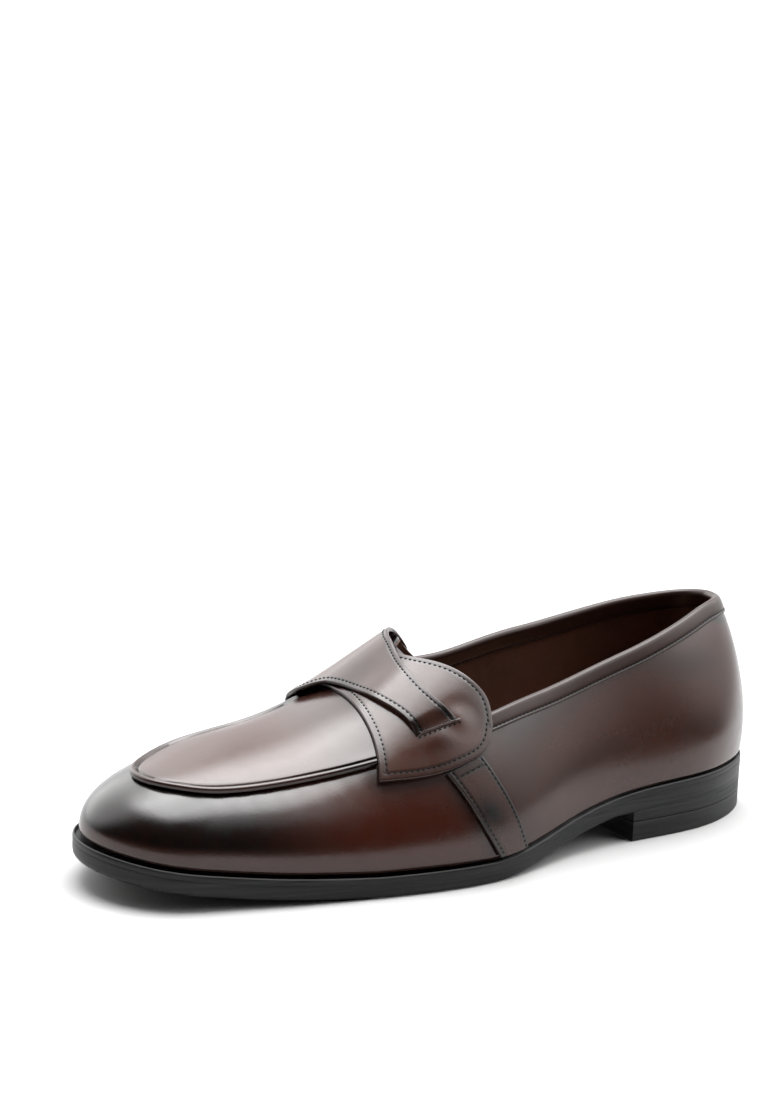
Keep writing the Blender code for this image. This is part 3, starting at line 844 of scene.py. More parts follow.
@dataclass
class Cut:
    """A leather piece cut from the last by four edges, with a rolled rim."""

    last: Last
    node: str
    slot: str
    finish: bpy.types.Material
    front: Table
    rear: Table
    foot: Table
    head: Table
    thick: float
    # stitch rows: the edge that each follows, and its distance from it
    rows: tuple[tuple[Edge, float], ...]
    step: float = 0.6
    rolled: tuple[Edge, ...] = (Edge.FRONT, Edge.REAR, Edge.FOOT)
    # radius of the rolled rim and how much of it drops, then strength and reach of its burnish
    rim_radius: float = 0.5
    rim_drop: float = 0.85
    rim_dark: float = 0.55
    rim_reach: float = 3.2
    tuck: float = 0.6
    # half width and depth of the groove that a stitch row lies in, then the same of its darkening: painted
    # shade in the groove, with some burnishing
    groove_width: float = 0.42
    groove_depth: float = 0.06
    groove_dark_width: float = 0.65
    groove_shade_and_burnishing: float = 0.45
    # share of the height, distance outward
    wall_rows: Table = ((0.85, 0.10), (0.6, 0.16), (0.42, 0.08), (0.28, -0.08), (0.15, -0.3))

    def low(self, x: Array, v: Array) -> Array:
        """Height of the underside over the last."""
        return np.full(np.shape(x), self.last.gap)

    def relief(self, x: Array, v: Array, points: Array) -> Array:
        """Soft form on top of the plain thickness."""
        return np.zeros(np.shape(x))

    def rim(self, d: Array) -> Array:
        """Height lost at distance d from a rolled edge."""
        r = self.rim_radius
        drop = r - np.sqrt(np.maximum(r * r - np.clip(r - d, 0, r) ** 2, 0))
        return self.rim_drop * drop

    def burnish(self, d: Array, x: Array, v: Array) -> Array:
        """Darkening toward the rolled edges."""
        return self.rim_dark * np.exp(-(d / self.rim_reach) ** 1.5)

    def warmth(self, x: Array, v: Array) -> Array:
        """Share of the red tone."""
        return np.zeros(np.shape(x))

    def build(self) -> None:
        """Build the piece and keep what its seams need."""
        q = spread(max(self._size(self.front), self._size(self.rear)), self.step)
        p = spread(max(self._size(self.foot), self._size(self.head)), self.step)
        front, rear = along(self.front, q), along(self.rear, q)
        foot, head = along(self.foot, p), along(self.head, p)
        qq, pp = q[:, None, None], p[None, :, None]
        corner = ((1 - pp) * (1 - qq) * front[0] + pp * (1 - qq) * rear[0]
                  + (1 - pp) * qq * front[-1] + pp * qq * rear[-1])
        xv = ((1 - pp) * front[:, None] + pp * rear[:, None]
              + (1 - qq) * foot[None] + qq * head[None] - corner)
        u = self.last.rib_at(xv[..., 0], xv[..., 1])
        self.skin = Skin(self.last, [(u, xv[..., 1])])
        skin = self.skin
        edges = {edge: self.last.trace(getattr(self, edge.value)) for edge in Edge}
        owner = np.stack([nearest(skin.points[skin.rim], line)[0] for line, _ in edges.values()], 1).argmin(1)
        rolled = skin.rim[np.isin(owner, [list(edges).index(e) for e in self.rolled])]
        d, _ = nearest(skin.points, skin.points[rolled])
        self.edge_lines = edges
        self.rolled_line = skin.points[rolled]
        x, v = skin.points[:, 0], skin.v
        low = self.low(x, v)
        groove = self.groove_depth * self.groove(d, self.groove_width)
        over = low + self.body(x, v) - self.rim(d) + self.relief(x, v, skin.points) - groove
        # darker rims, and painted shade with some burnishing in the stitch grooves
        shade = self.burnish(d, x, v) + self.groove_shade_and_burnishing * self.groove(d, self.groove_dark_width)
        draft = skin.solid(over, low, self.wall_rows, self.tuck, rolled, burnish=np.clip(shade, 0, 1),
                           warm=self.warmth(x, v))
        self.tree = skin.tree()
        draft.piece(self.last, f"{self.node}_leather", self.finish, self.slot, (self.node,))

    def groove(self, d: Array, width: float) -> Array:
        """Share of the groove that the stitch rows lie in, at distance d from the rolled edges."""
        share = np.zeros(len(d))
        for edge, inset in self.rows:
            gap, _ = nearest(self.skin.points, self.edge_lines[edge][0])
            share = np.maximum(share, hump(gap, inset, width) * ease(d, inset - 1.3, inset - 0.7))
        return share

    def body(self, x: Array, v: Array) -> Array:
        """Thickness of the leather."""
        return np.full(np.shape(x), self.thick)

    def _size(self, table: Table) -> float:
        """Length of an edge on the last."""
        return float(np.linalg.norm(np.diff(self.last.line(table), axis=0), axis=1).sum())

    def path(self, edge: Edge, inset: float) -> Array:
        """Line at a distance inside one edge, left out where it comes nearer to another.

        Args:
            edge: the edge to follow.
            inset: distance inside it.

        Returns:
            Points on top of the piece.
        """
        opposite = {Edge.FRONT: Edge.REAR, Edge.REAR: Edge.FRONT, Edge.FOOT: Edge.HEAD, Edge.HEAD: Edge.FOOT}
        tolerance = 0.93
        line, up = self.edge_lines[edge]
        across = unit(np.cross(up, np.gradient(line, axis=0)))
        if np.sum((self.edge_lines[opposite[edge]][0] - line) * across) < 0:
            across = -across
        moved = line + across * inset
        keep = nearest(moved, self.rolled_line)[0] > inset * tolerance
        x, v = along(getattr(self, edge.value), np.linspace(0, 1, len(line))).T
        moved = moved + up * (self.low(x, v) + self.body(x, v))[:, None]
        return np.array([self.tree.find_nearest(p)[0] for p in moved[keep].tolist()])

    def paths(self) -> list[Array]:
        """Lines of the stitch rows."""
        return [self.path(edge, inset) for edge, inset in self.rows]

    def sew(self, seam: Seam, thread: bpy.types.Material) -> None:
        """Sew the piece's stitch rows."""
        draft = Draft()
        for path in self.paths():
            seam.stitch(draft, path, self.tree)
        draft.piece(self.last, f"{self.node}_stitches", thread, self.slot)


def straight(a: Table, b: Table) -> Table:
    """Edge from the last row of one table to the last row of another."""
    return (a[-1], b[-1])


@dataclass
class Wing(Cut):
    """Wing on the lateral side of the instep, with the slit that takes the strap."""

    slit: Table = ((33.8, 0.482), (16.4, 0.492))
    slit_points: int = 70
    slit_row: float = 1.5
    # distance below the slit, height over the wing
    lip: Table = ((-0.10, -0.3), (-0.12, 0.45), (-0.02, 0.80), (0.18, 0.98), (0.42, 0.96), (0.66, 0.76),
                  (0.85, 0.42), (0.98, 0.05), (1.02, -0.3))
    lip_dark: float = 0.35
    collar_dark: float = 0.55
    swell: Patch = Patch(0.30, 25.0, 8.0, 0.53, 0.03)
    # painted shade of a soft hollow, below the slit
    cloud: Patch = Patch(0.35, 27.0, 8.0, 0.55, 0.05)
    glow: Patch = Patch(0.35, 29.0, 9.0, 0.55, 0.05)

    def relief(self, x: Array, v: Array, points: Array) -> Array:
        """Soft swell over the strap's hidden end and a small pucker where the slit stops."""
        end = np.linalg.norm(points - self.last.line(self.slit)[-1], axis=1)
        return self.swell.at(x, v) + 0.22 * hump(end, 0.0, 2.6) - 0.16 * hump(end, 6.0, 3.0)

    def burnish(self, d: Array, x: Array, v: Array) -> Array:
        """Darker rims, most of all along the collar, painted shade in a patch below the slit, and painted
        shade under the strap.
        """
        rim = super().burnish(d, x, v)
        collar = self.collar_dark * (1 - ease(x - 18.0 * (0.5 - v), 4.0, 18.0)) * (v < 0.56)
        # painted shade where the strap lies over the wing
        hidden = 1 - ease(v, -0.02, 0.08)
        return np.clip(np.maximum.reduce([rim, collar, hidden]) + self.cloud.at(x, v), 0, 1)

    def warmth(self, x: Array, v: Array) -> Array:
        """Red glow below the slit."""
        return self.glow.at(x, v)

    def slit_path(self, below: float, high: Array | float = 0.0) -> Array:
        """Line beside the slit.

        Args:
            below: distance below the slit.
            high: height over the wing, one for each point or one for all.

        Returns:
            The points.
        """
        line, up = self.last.trace(self.slit, self.slit_points)
        down = unit(np.cross(up, np.gradient(line, axis=0)))
        down = np.where(down[:, 2:] > 0, -down, down)
        over = np.broadcast_to(self.last.gap + self.thick + high, len(line))
        return line + down * below + up * over[:, None]

    def paths(self) -> list[Array]:
        """Lines of the stitch rows, with the one below the slit."""
        return super().paths() + [self.slit_path(self.slit_row)]

    def slit_lip(self) -> None:
        """Raised lower lip of the slit, which the strap's end goes under."""
        share = np.linspace(0, 1, self.slit_points)
        swell = 0.25 + 0.75 * ease(share, 0, 0.12) * (1 - ease(share, 0.86, 1))
        rows = [self.slit_path(below, high * swell if high > 0 else high) for below, high in self.lip]
        draft = Draft()
        ids = draft.put(np.stack(rows, 1), burnish=self.lip_dark)
        draft.quads(ids, wrap=True)
        draft.caps(ids)
        draft.piece(self.last, "wing_slit_lip", self.finish, self.slot)


@dataclass
class Strap(Cut):
    """Strap from the medial side across the instep, its end pushed into the wing's slit."""

    # underside over the last where the strap crosses the wing, and how far its end goes down and is thinned
    lift: float = 3.3
    dive: float = 0.35
    thinned: float = 0.95
    trough: float = 1.0
    end_shade: float = 0.40
    crest: Patch = Patch(0.45, 36.0, 9.0, 0.05, 0.10)
    glow: Patch = Patch(0.30, 36.0, 9.0, -0.02, 0.10)

    def low(self, x: Array, v: Array) -> Array:
        """Underside: on the upper at the medial foot, then over the wing."""
        up = ease(v, -0.46, -0.30)
        end = ease(v, 0.425, 0.482)
        return self.last.gap + (self.lift - self.last.gap) * up - self.dive * end

    def body(self, x: Array, v: Array) -> Array:
        """Thickness, less at the end that goes into the slit."""
        return self.thick - self.thinned * ease(v, 0.435, 0.484)

    def relief(self, x: Array, v: Array, points: Array) -> Array:
        """Soft trough beside the crest, where the strap is pulled toward the slit."""
        return -self.trough * hump(v, 0.13, 0.09)

    def burnish(self, d: Array, x: Array, v: Array) -> Array:
        """Darker rims and crest, and painted shade on the end that goes under the slit's lip."""
        # painted shade toward the end that goes into the slit
        end = self.end_shade * ease(v, 0.36, 0.47)
        return np.clip(super().burnish(d, x, v) + end + self.crest.at(x, v), 0, 1)

    def warmth(self, x: Array, v: Array) -> Array:
        """Red glow on the crest."""
        return self.glow.at(x, v)


@dataclass
class Strip(Cut):
    """Strip from the wing or strap down to the sole."""

    tone: float = 0.26
    head_shade: float = 0.35
    # shares of the head and the foot, and x of the middle there
    ends: tuple[float, float] = (0.65, 0.985)
    middle: tuple[float, float] = (18.0, 1.0)
    # place in x counted from the middle
    cloud: Patch = Patch(0.75, 1.5, 5.0, 0.82, 0.06)

    def burnish(self, d: Array, x: Array, v: Array) -> Array:
        """Dark rims, a dark cloud in the middle, and painted shade at the head under the wing or strap."""
        rim = super().burnish(2.0 * d, x, v)
        w = np.abs(v)
        cloud = self.cloud.at(x - np.interp(w, self.ends, self.middle), w)
        # painted shade where the head runs under the wing or strap
        head = self.head_shade * hump(w, self.ends[0], 0.03)
        return np.clip(np.maximum(rim, cloud + head) + self.tone, 0, 1)


@dataclass
class Apron:
    """Apron on the vamp with a rolled bead along its edge and a groove inside the bead."""

    last: Last
    finish: bpy.types.Material
    wing_front: Table
    thick: float = 1.3
    # half width and rise of the bead, then depth, half width and distance of the groove inside it
    bead: float = 1.15
    bead_rise: float = 0.95
    groove: float = 0.55
    groove_width: float = 0.42
    groove_gap: float = 0.35
    dip: float = 0.7
    tuck: float = 1.0
    edge_dark: float = 0.55
    # painted shade with some burnishing in the groove inside the bead
    groove_shade_and_burnishing: float = 0.5
    # painted shade on the apron's rear end, next to the wing and strap
    rear_dark: float = 0.35
    # rib, share of the lateral and of the medial edge
    edge: Table = ((0.620, 0.523, 0.218), (0.665, 0.501, 0.246), (0.711, 0.496, 0.246),
                   (0.746, 0.503, 0.245), (0.796, 0.496, 0.271), (0.844, 0.457, 0.288),
                   (0.905, 0.411, 0.300), (0.950, 0.380, 0.325), (1.000, 0.352, 0.352))
    clear: float = 0.35
    # share of the height, distance outward
    wall_rows: Table = ((0.85, 0.10), (0.65, 0.13), (0.48, 0.04), (0.33, -0.16), (0.20, -0.45))
    # percent of the way from the edge to the crown, for rows close to the edge
    close: tuple[float, ...] = (0, 0.25, 0.6, 1.1, 1.7, 2.3, 2.9, 3.5, 4.1, 4.7, 5.2, 5.7, 6.2, 6.8, 7.5, 8.5)
    rows: int = 34
    ribs: int = 150

    def limit(self, side: Side, u: Array) -> Array:
        """Share of the edge at rib u, counted from the crown."""
        return read(self.edge, side.column, u)

    def rear(self, side: Side, inward: Array) -> Array:
        """Ribs of the rear end, just ahead of the wing, at shares inward from the edge to the crown."""
        guess, rounds = 0.63, 8
        stop = along(self.wing_front, np.linspace(1, 0, 80))
        u = np.full(len(inward), guess)
        for _ in range(rounds):
            v = side.value * self.limit(side, u) * (1 - inward)
            u = self.last.rib_at(np.interp(v, stop[:, 1], stop[:, 0]) + self.clear, v)
        return u

    def border(self) -> Array:
        """Points along the apron's edge, from the lateral rear round the toe to the medial rear."""
        parts = []
        for side in Side:
            u = np.linspace(self.rear(side, np.zeros(1))[0], 1, 900)
            parts.append(self.last.point(u, side.value * self.limit(side, u)))
        return np.vstack([parts[0], parts[1][::-1]])

    def build(self) -> None:
        """Build the apron."""
        r = np.r_[np.array(self.close) / 100, np.linspace(0.1, 1.0, self.rows)]
        p = np.linspace(0, 1, self.ribs)
        grids = []
        for side in Side:
            first = self.rear(side, r)
            u = first[None, :] + (1 - first[None, :]) * p[:, None]
            grids.append((u, sided(side.value * self.limit(side, u) * (1 - r[None, :]), side)))
        skin = Skin(self.last, grids)
        x = skin.points[:, 0]
        d, _ = nearest(skin.points, self.border())
        lateral, medial = (self.limit(side, skin.u) for side in Side)
        limit = np.where(skin.v >= 0, lateral, medial)
        on_edge = skin.rim[np.abs(np.abs(skin.v) - limit)[skin.rim] < 1e-6]
        d[on_edge] = 0.0
        width = 2 * self.bead
        inside = np.clip(d, 0, width) - self.bead
        roll = np.sqrt(np.maximum(self.bead ** 2 - inside ** 2, 0)) * self.bead_rise / self.bead
        groove = width + self.groove_gap
        rise = np.where(d < width, roll, 0.0) - self.groove * hump(d, groove, self.groove_width)
        dip = self.dip * hump(x, 48.0, 14.0) * ease(d, 1.0, 8.0)
        over = self.last.gap + self.thick + rise - dip - 0.15 * np.clip(1 - d / 0.5, 0, 1)
        low = np.full(len(d), self.last.gap)
        shade = self.edge_dark * np.exp(-(d / 5.0) ** 1.4) + self.groove_shade_and_burnishing * hump(d, groove, 0.6)
        # painted shade on the rear of the apron, next to the wing and strap
        shade = np.clip(shade + self.rear_dark * (1 - ease(x, 56, 74)), 0, 1)
        warm = 0.16 * (1 - ease(x, 60, 95)) + 0.06
        draft = skin.solid(over, low, self.wall_rows, self.tuck, on_edge, burnish=shade, warm=warm)
        draft.piece(self.last, "apron_leather", self.finish, "apron", ("apron",))


@dataclass
class Upper:
    """Hollow upper: the leather, and the lining inside it."""

    last: Last
    calf: bpy.types.Material
    lining: bpy.types.Material
    leather: float = 1.1
    rim_drop: float = 1.6
    # shares of the rows close to the feather, where the leather turns in
    close: tuple[float, ...] = (0, 0.012, 0.024, 0.036)
    turned_in: float = 0.75
    # ribs in the rear, the throat and the fore part, then rows
    outer_mesh: tuple[tuple[int, int, int], int] = ((90, 40, 120), 58)
    lining_mesh: tuple[tuple[int, int, int], int] = ((60, 26, 60), 30)
    # strength of the darkening by its place: burnishing at toe and heel, painted shadow with burnishing
    # beside the apron and the cut pieces, painted shadow at the sole, darker quarters that are partly painted
    # dark reflection
    toe_dark: float = 0.95
    apron_shadow_and_burnishing: float = 0.5
    seam_shadow_and_burnishing: float = 0.6
    feather_shadow: float = 0.9
    rear_dark: float = 0.30
    quarter_dark: float = 0.10
    waist_dark: float = 0.30

    def grids(self, ribs: tuple[int, int, int], rows: int) -> list[tuple[Array, Array]]:
        """Rib and share grids of both sides.

        Args:
            ribs: how many ribs in the rear, the throat and the fore part.
            rows: how many rows from feather to mouth.

        Returns:
            One pair of grids for each side.
        """
        stops = (0, 0.48, self.last.throat[-1][0], 1)
        u = np.unique(np.concatenate([np.linspace(*ends) for ends in zip(stops, stops[1:], ribs)]))
        s = np.r_[self.close, np.linspace(0.05, 1, rows - len(self.close))]
        out = []
        for side in Side:
            keep = self.last.kept(u, side)
            drop = self.rim_drop / self.last.slope(u, side.value * np.clip(1 - keep, 0.01, 1))
            keep = keep - drop * (1 - ease(u, 0.50, 0.53))
            v = sided(side.value * (1 - keep[:, None] * s[None, :]), side)
            out.append((np.repeat(u[:, None], rows, 1), v))
        return out

    def tuck(self, height: Array) -> Array:
        """How far the leather turns in just over the sole."""
        return self.turned_in * (1 - ease(height, 0.3, 1.6))

    def relief(self, skin: Skin, apron: Array) -> Array:
        """Soft unevenness of pulled leather: small puckers under the apron and long shallow waves behind."""
        x, v = skin.points[:, 0], skin.v
        d, _ = nearest(skin.points, apron)
        puckers = 0.05 * np.sin(x * 0.75) * np.exp(-(d / 5.0) ** 2)
        waves = 0.14 * np.sin(x * 0.085 + 2.2 * v) * np.sin(v * 9.0 + x * 0.03) * (1 - ease(x, 0, 60))
        fade = ease(1 - np.abs(v), 0.02, 0.15)
        return (puckers + waves) * fade

    def burnish(self, skin: Skin, height: Array, apron: Array, seams: list[Array]) -> Array:
        """Darkening of the upper: burnishing at toe and heel, painted shadow with burnishing along the seams,
        painted shadow at the sole, darker quarters that are partly painted dark reflection, and painted shade
        where the wing and strap lie over it.

        Args:
            skin: the sheet of the upper.
            height: height of its points over the sole.
            apron: points along the apron's edge.
            seams: lines along which the leather is darker.

        Returns:
            Shares of the dark tone.
        """
        x, w = skin.points[:, 0], np.abs(skin.v)
        d_apron, _ = nearest(skin.points, apron)
        d_seam, _ = nearest(skin.points, np.vstack(seams))
        toe = self.toe_dark * ease(x, 50, 106) * (1 - 0.8 * ease(w, 0.84, 0.92))
        # painted shadow with burnishing beside the apron's bead and the edges of the cut pieces
        edge = (self.apron_shadow_and_burnishing * np.exp(-(d_apron / 4.0) ** 1.3)
                + self.seam_shadow_and_burnishing * np.exp(-(d_seam / 4.0) ** 1.3))
        # painted shadow in the joint between the upper and the sole
        feather = self.feather_shadow * hump(height, 0.0, 1.6)
        rear = self.rear_dark * (1 - ease(x, -140, -105))
        # darker bands on the quarter, waved along its length: partly painted dark reflection, partly darker
        # clouds in the leather
        band = 0.35 * hump(w, 0.825, 0.045) * (1 - ease(x, -25, -5)) + 0.5 * hump(w, 0.60, 0.05)
        band = band * (0.62 + 0.38 * np.sin(0.085 * x + 6.0 * w)) * ease(x, -135, -100)
        quarter = (self.quarter_dark + band) * (1 - ease(x, -5, 15)) + self.waist_dark * hump(x, -2, 16)
        # painted shade where the wing and strap lie over the upper
        covered = (w < 0.45) * (1 - ease(x, 30, 40))
        return np.clip(np.maximum.reduce([toe, edge, feather, rear, quarter, covered]), 0, 1)

    def build(self, apron: Array, seams: list[Array]) -> None:
        """Build the leather and the lining.

        Args:
            apron: points along the apron's edge.
            seams: lines along which the leather is darker.
        """
        skin = Skin(self.last, self.grids(*self.outer_mesh))
        x = skin.points[:, 0]
        height = skin.points[:, 2] - self.last.sole_top(x)
        warm = np.clip(0.95 * hump(x, 48, 38) * hump(height, 17, 12) * (x > 0) + 0.12, 0, 1)
        over = self.relief(skin, apron) - self.tuck(height)
        draft = skin.solid(over, np.full(len(x), -self.leather), floor=self.last,
                           burnish=self.burnish(skin, height, apron, seams), warm=warm)
        draft.piece(self.last, "upper_leather", self.calf, "upper", ("upper",))
        skin = Skin(self.last, self.grids(*self.lining_mesh))
        top, low = (np.full(len(skin.u), k) for k in (-self.leather - 0.05, -self.last.wall))
        skin.solid(top, low, floor=self.last).piece(self.last, "upper_lining", self.lining, "insole")


@dataclass
class Binding:
    """Binding folded over the collar's rim, from the wing round the heel to the strap, with its seams."""

    last: Last
    finish: bpy.types.Material
    thread: bpy.types.Material
    width: float = 7.7
    inside: float = 8.6
    roll: float = 2.05
    # rib of the end at the rim and at the lower edge
    lateral_end: tuple[float, float] = (0.5138, 0.5172)
    medial_end: tuple[float, float] = (0.5155, 0.5150)
    # distance below the rim, height over the leather
    outer: Table = ((7.7, 0.12), (7.66, 0.50), (7.45, 0.80), (7.15, 0.92), (6.85, 0.86), (6.6, 0.68),
                    (6.35, 0.62), (6.1, 0.70), (5.7, 0.84), (5.0, 0.94), (4.0, 1.0), (3.0, 1.03),
                    (2.05, 1.05))
    # distances below the rim of the rows inside, and of the seam there
    inner: tuple[float, ...] = (2.05, 3.0, 4.2, 5.4, 6.6, 7.0, 7.2, 7.4, 7.8, 8.3)
    inner_seam: float = 7.2
    inner_groove: float = 0.25
    leather: float = 1.05
    clear: float = 0.12
    stations: int = 150
    dark: float = 0.55
    # darkening of the outside stitch groove: painted shade with some burnishing
    groove_shade_and_burnishing: float = 0.9
    # distance below the rim and height of the stitch row outside
    outer_row: tuple[float, float] = (6.35, 0.65)

    def at(self, share: Array, side: Side, drop: float, height: float) -> Array:
        """Points of the band.

        Args:
            share: shares of the way from the heel to the band's end.
            side: side of the shoe.
            drop: distance below the rim.
            height: height over the leather.

        Returns:
            The points.
        """
        rim, low = self.lateral_end if side is Side.LATERAL else self.medial_end
        u = rim * share + (low - rim) * min(drop / self.width, 1.0) * share ** 8
        start = 1 - self.last.collar_share(u, side)
        v = side.value * (start + drop / self.last.slope(u, side.value * start))
        return self.last.point(u, v) + height * self.last.normal(u, v)

    def section(self, share: Array, side: Side) -> Array:
        """Closed section of the folded band at shares of the way to its end."""
        wall = self.last.wall
        rows = [self.at(share, side, d, h) for d, h in self.outer]
        centre = self.at(share, side, self.roll, -wall / 2)
        out = unit(self.at(share, side, self.roll, 1.0) - self.at(share, side, self.roll, 0.0))
        up = unit(self.at(share, side, self.roll - 1.0, -wall / 2) - centre)
        for angle in np.radians(np.arange(15, 180, 15)):
            rows.append(centre + self.roll * (math.cos(angle) * out + math.sin(angle) * up))
        for d in self.inner:
            groove = self.inner_groove * float(hump(d, self.inner_seam, 0.35))
            rows.append(self.at(share, side, d, -wall - self.leather + groove))
        rows.append(self.at(share, side, self.inside, -wall - 0.7))
        rows += [self.at(share, side, d, -wall - self.clear) for d in (self.inside, 6.0, 3.0, 1.5)]
        rows += [self.at(share, side, d, 0.1) for d in (1.5, 3.0, 5.0, 7.2)]
        return np.stack(rows, 1)

    def build(self) -> None:
        """Build the band and sew its rows."""
        share = np.linspace(0, 1, self.stations)
        loop = np.concatenate([self.section(share[::-1], Side.LATERAL), self.section(share[1:], Side.MEDIAL)])
        draft = Draft()
        shade = np.full(loop.shape[1], self.dark)
        # painted shade with some burnishing on the rows of the outside stitch groove
        shade[4:8] = self.groove_shade_and_burnishing
        ids = draft.put(loop, burnish=np.broadcast_to(shade, loop.shape[:2]))
        draft.quads(ids, wrap=True)
        surface = BVHTree.FromPolygons(loop.reshape(-1, 3).tolist(), draft.faces)
        draft.caps(ids)
        draft.piece(self.last, "collar_binding", self.finish, "binding", ("binding",))
        sewn = Draft()
        seam = Seam(pitch=2.0, length=1.35, radius=0.26)
        inner_row = (self.inner_seam, self.inner_groove - self.leather - self.last.wall)
        for row in (self.outer_row, inner_row):
            line = np.concatenate([self.at(share[::-1], Side.LATERAL, *row),
                                   self.at(share[1:], Side.MEDIAL, *row)])
            seam.stitch(sewn, line, surface, 0.0)
        sewn.piece(self.last, "binding_stitches", self.thread, "binding")


@dataclass
class Sole:
    """Outsole, heel and top lift of black rubber, and the sock inside."""

    last: Last
    rubber: bpy.types.Material
    heel_rubber: bpy.types.Material
    sock: bpy.types.Material
    lift: float = 8.0
    breast: float = 0.275
    heel_inset: float = 0.05
    wedge_level: float = 12.7
    seat_gap: float = 0.12
    sock_thick: float = 3.0
    sock_inset: float = 5.3
    # share of the height, inset; then the share below which the edge is rounded only ahead of the heel
    edge: Table = ((0.00, 1.3), (0.03, 0.85), (0.08, 0.45), (0.15, 0.18), (0.24, 0.04), (0.36, 0.0),
                   (0.55, 0.0), (0.66, 0.0), (0.69, 0.10), (0.715, 0.13), (0.74, 0.10), (0.77, 0.0),
                   (0.86, 0.0), (0.92, 0.06), (0.96, 0.18), (0.99, 0.42), (1.00, 0.65), (0.98, 0.85),
                   (0.90, 1.0), (0.82, 1.05))
    rounded: float = 0.25
    # share of the height up to the wedge's level, inset; then share of the wedge, inset
    heel_edge: Table = ((0.00, 0.12), (0.05, 0.0), (0.30, 0.0), (0.36, 0.06), (0.42, 0.22), (0.48, 0.06),
                        (0.54, 0.0), (0.88, 0.0), (0.93, 0.06), (0.97, 0.2))
    wedge_edge: Table = ((0.03, 0.2), (0.10, 0.05), (0.18, 0.0), (0.60, 0.0), (1.00, 0.0))
    # share of the thickness, inset
    lift_edge: Table = ((0.00, 0.55), (0.02, 0.32), (0.05, 0.14), (0.10, 0.03), (0.16, 0.0), (0.55, 0.0),
                        (0.96, 0.0), (0.98, 0.04), (1.00, 0.12))
    sock_edge: Table = ((0.0, 0.0), (0.7, 0.0), (0.9, 0.25), (1.0, 0.8))
    # outlines' points on each side
    sole_ribs: int = 240
    heel_ribs: int = 90
    sock_ribs: int = 160

    def wedge(self, x: Array) -> Array:
        """Height of the line below the heel's wedge."""
        return np.minimum(self.wedge_level, self.last.sole_under(x) - self.last.gap - 0.1)

    def stack(self, u: Array, layers: list[Layer], across: int = 25) -> Draft:
        """Solid from stacked outlines.

        Args:
            u: rib numbers.
            layers: inset and height function of each outline, from below.
            across: columns of the plates that close it.

        Returns:
            The draft.
        """
        draft = Draft()
        rings = []
        for inset, height in layers:
            sides = [self.last.outline(u, side, inset)[0] for side in Side]
            loop = np.vstack([sides[0], sides[1][::-1]])
            rings.append(np.column_stack([loop, height(loop[:, 0])]))
        draft.quads(draft.put(np.stack(rings)), wrap=True)
        t = np.linspace(0, 1, across)[None, :, None]
        for inset, height in (layers[0], layers[-1]):
            lat, med = (self.last.outline(u, side, inset)[0] for side in Side)
            plan = (1 - t) * lat[:, None] + t * med[:, None]
            draft.quads(draft.put(np.concatenate([plan, height(plan[..., 0])[..., None]], -1)))
        return draft

    @staticmethod
    def layers(table: Table, low: Height, high: Height, inset: float = 0.0) -> list[Layer]:
        """Outlines between two heights.

        Args:
            table: share of the way up and inset of each outline.
            low: height at share 0.
            high: height at share 1.
            inset: distance added to every inset.

        Returns:
            Inset and height function of each outline.
        """
        return [(inset + more, lambda x, s=share: low(x) + s * (high(x) - low(x))) for share, more in table]

    def build(self) -> None:
        """Build outsole, heel, lift and sock."""
        last = self.last
        u = np.linspace(0, 1, self.sole_ribs)
        ahead = np.clip((last.station(u) - self.breast) / 0.03, self.heel_inset / self.edge[0][1], 1)
        plain = self.layers(self.edge, last.sole_under, last.sole_top)
        layers = [(inset * ahead if share < self.rounded else inset, height)
                  for (inset, height), (share, _) in zip(plain, self.edge)]
        self.stack(u, layers).piece(last, "outsole_rubber", self.rubber, "outsole", ("outsole",))
        u = np.linspace(0, math.acos(1 - 2 * self.breast) / math.pi, self.heel_ribs)
        layers = self.layers(self.heel_edge, lambda x: self.lift + last.gap, self.wedge, self.heel_inset)
        layers += self.layers(self.wedge_edge, self.wedge, lambda x: last.sole_under(x) - self.seat_gap,
                              self.heel_inset)
        self.stack(u, layers).piece(last, "heel_block", self.heel_rubber, "heel", ("heel",))
        layers = self.layers(self.lift_edge, np.zeros_like, lambda x: np.full_like(x, self.lift),
                             self.heel_inset)
        self.stack(u, layers).piece(last, "heel_lift", self.heel_rubber, "lift", ("lift",))
        u = np.linspace(0, 1, self.sock_ribs)
        layers = self.layers(self.sock_edge, lambda x: last.sole_top(x) + last.gap,
                             lambda x: last.sole_top(x) + last.gap + self.sock_thick, self.sock_inset)
        self.stack(u, layers, 41).piece(last, "sock", self.sock, "insole", ("insole",))


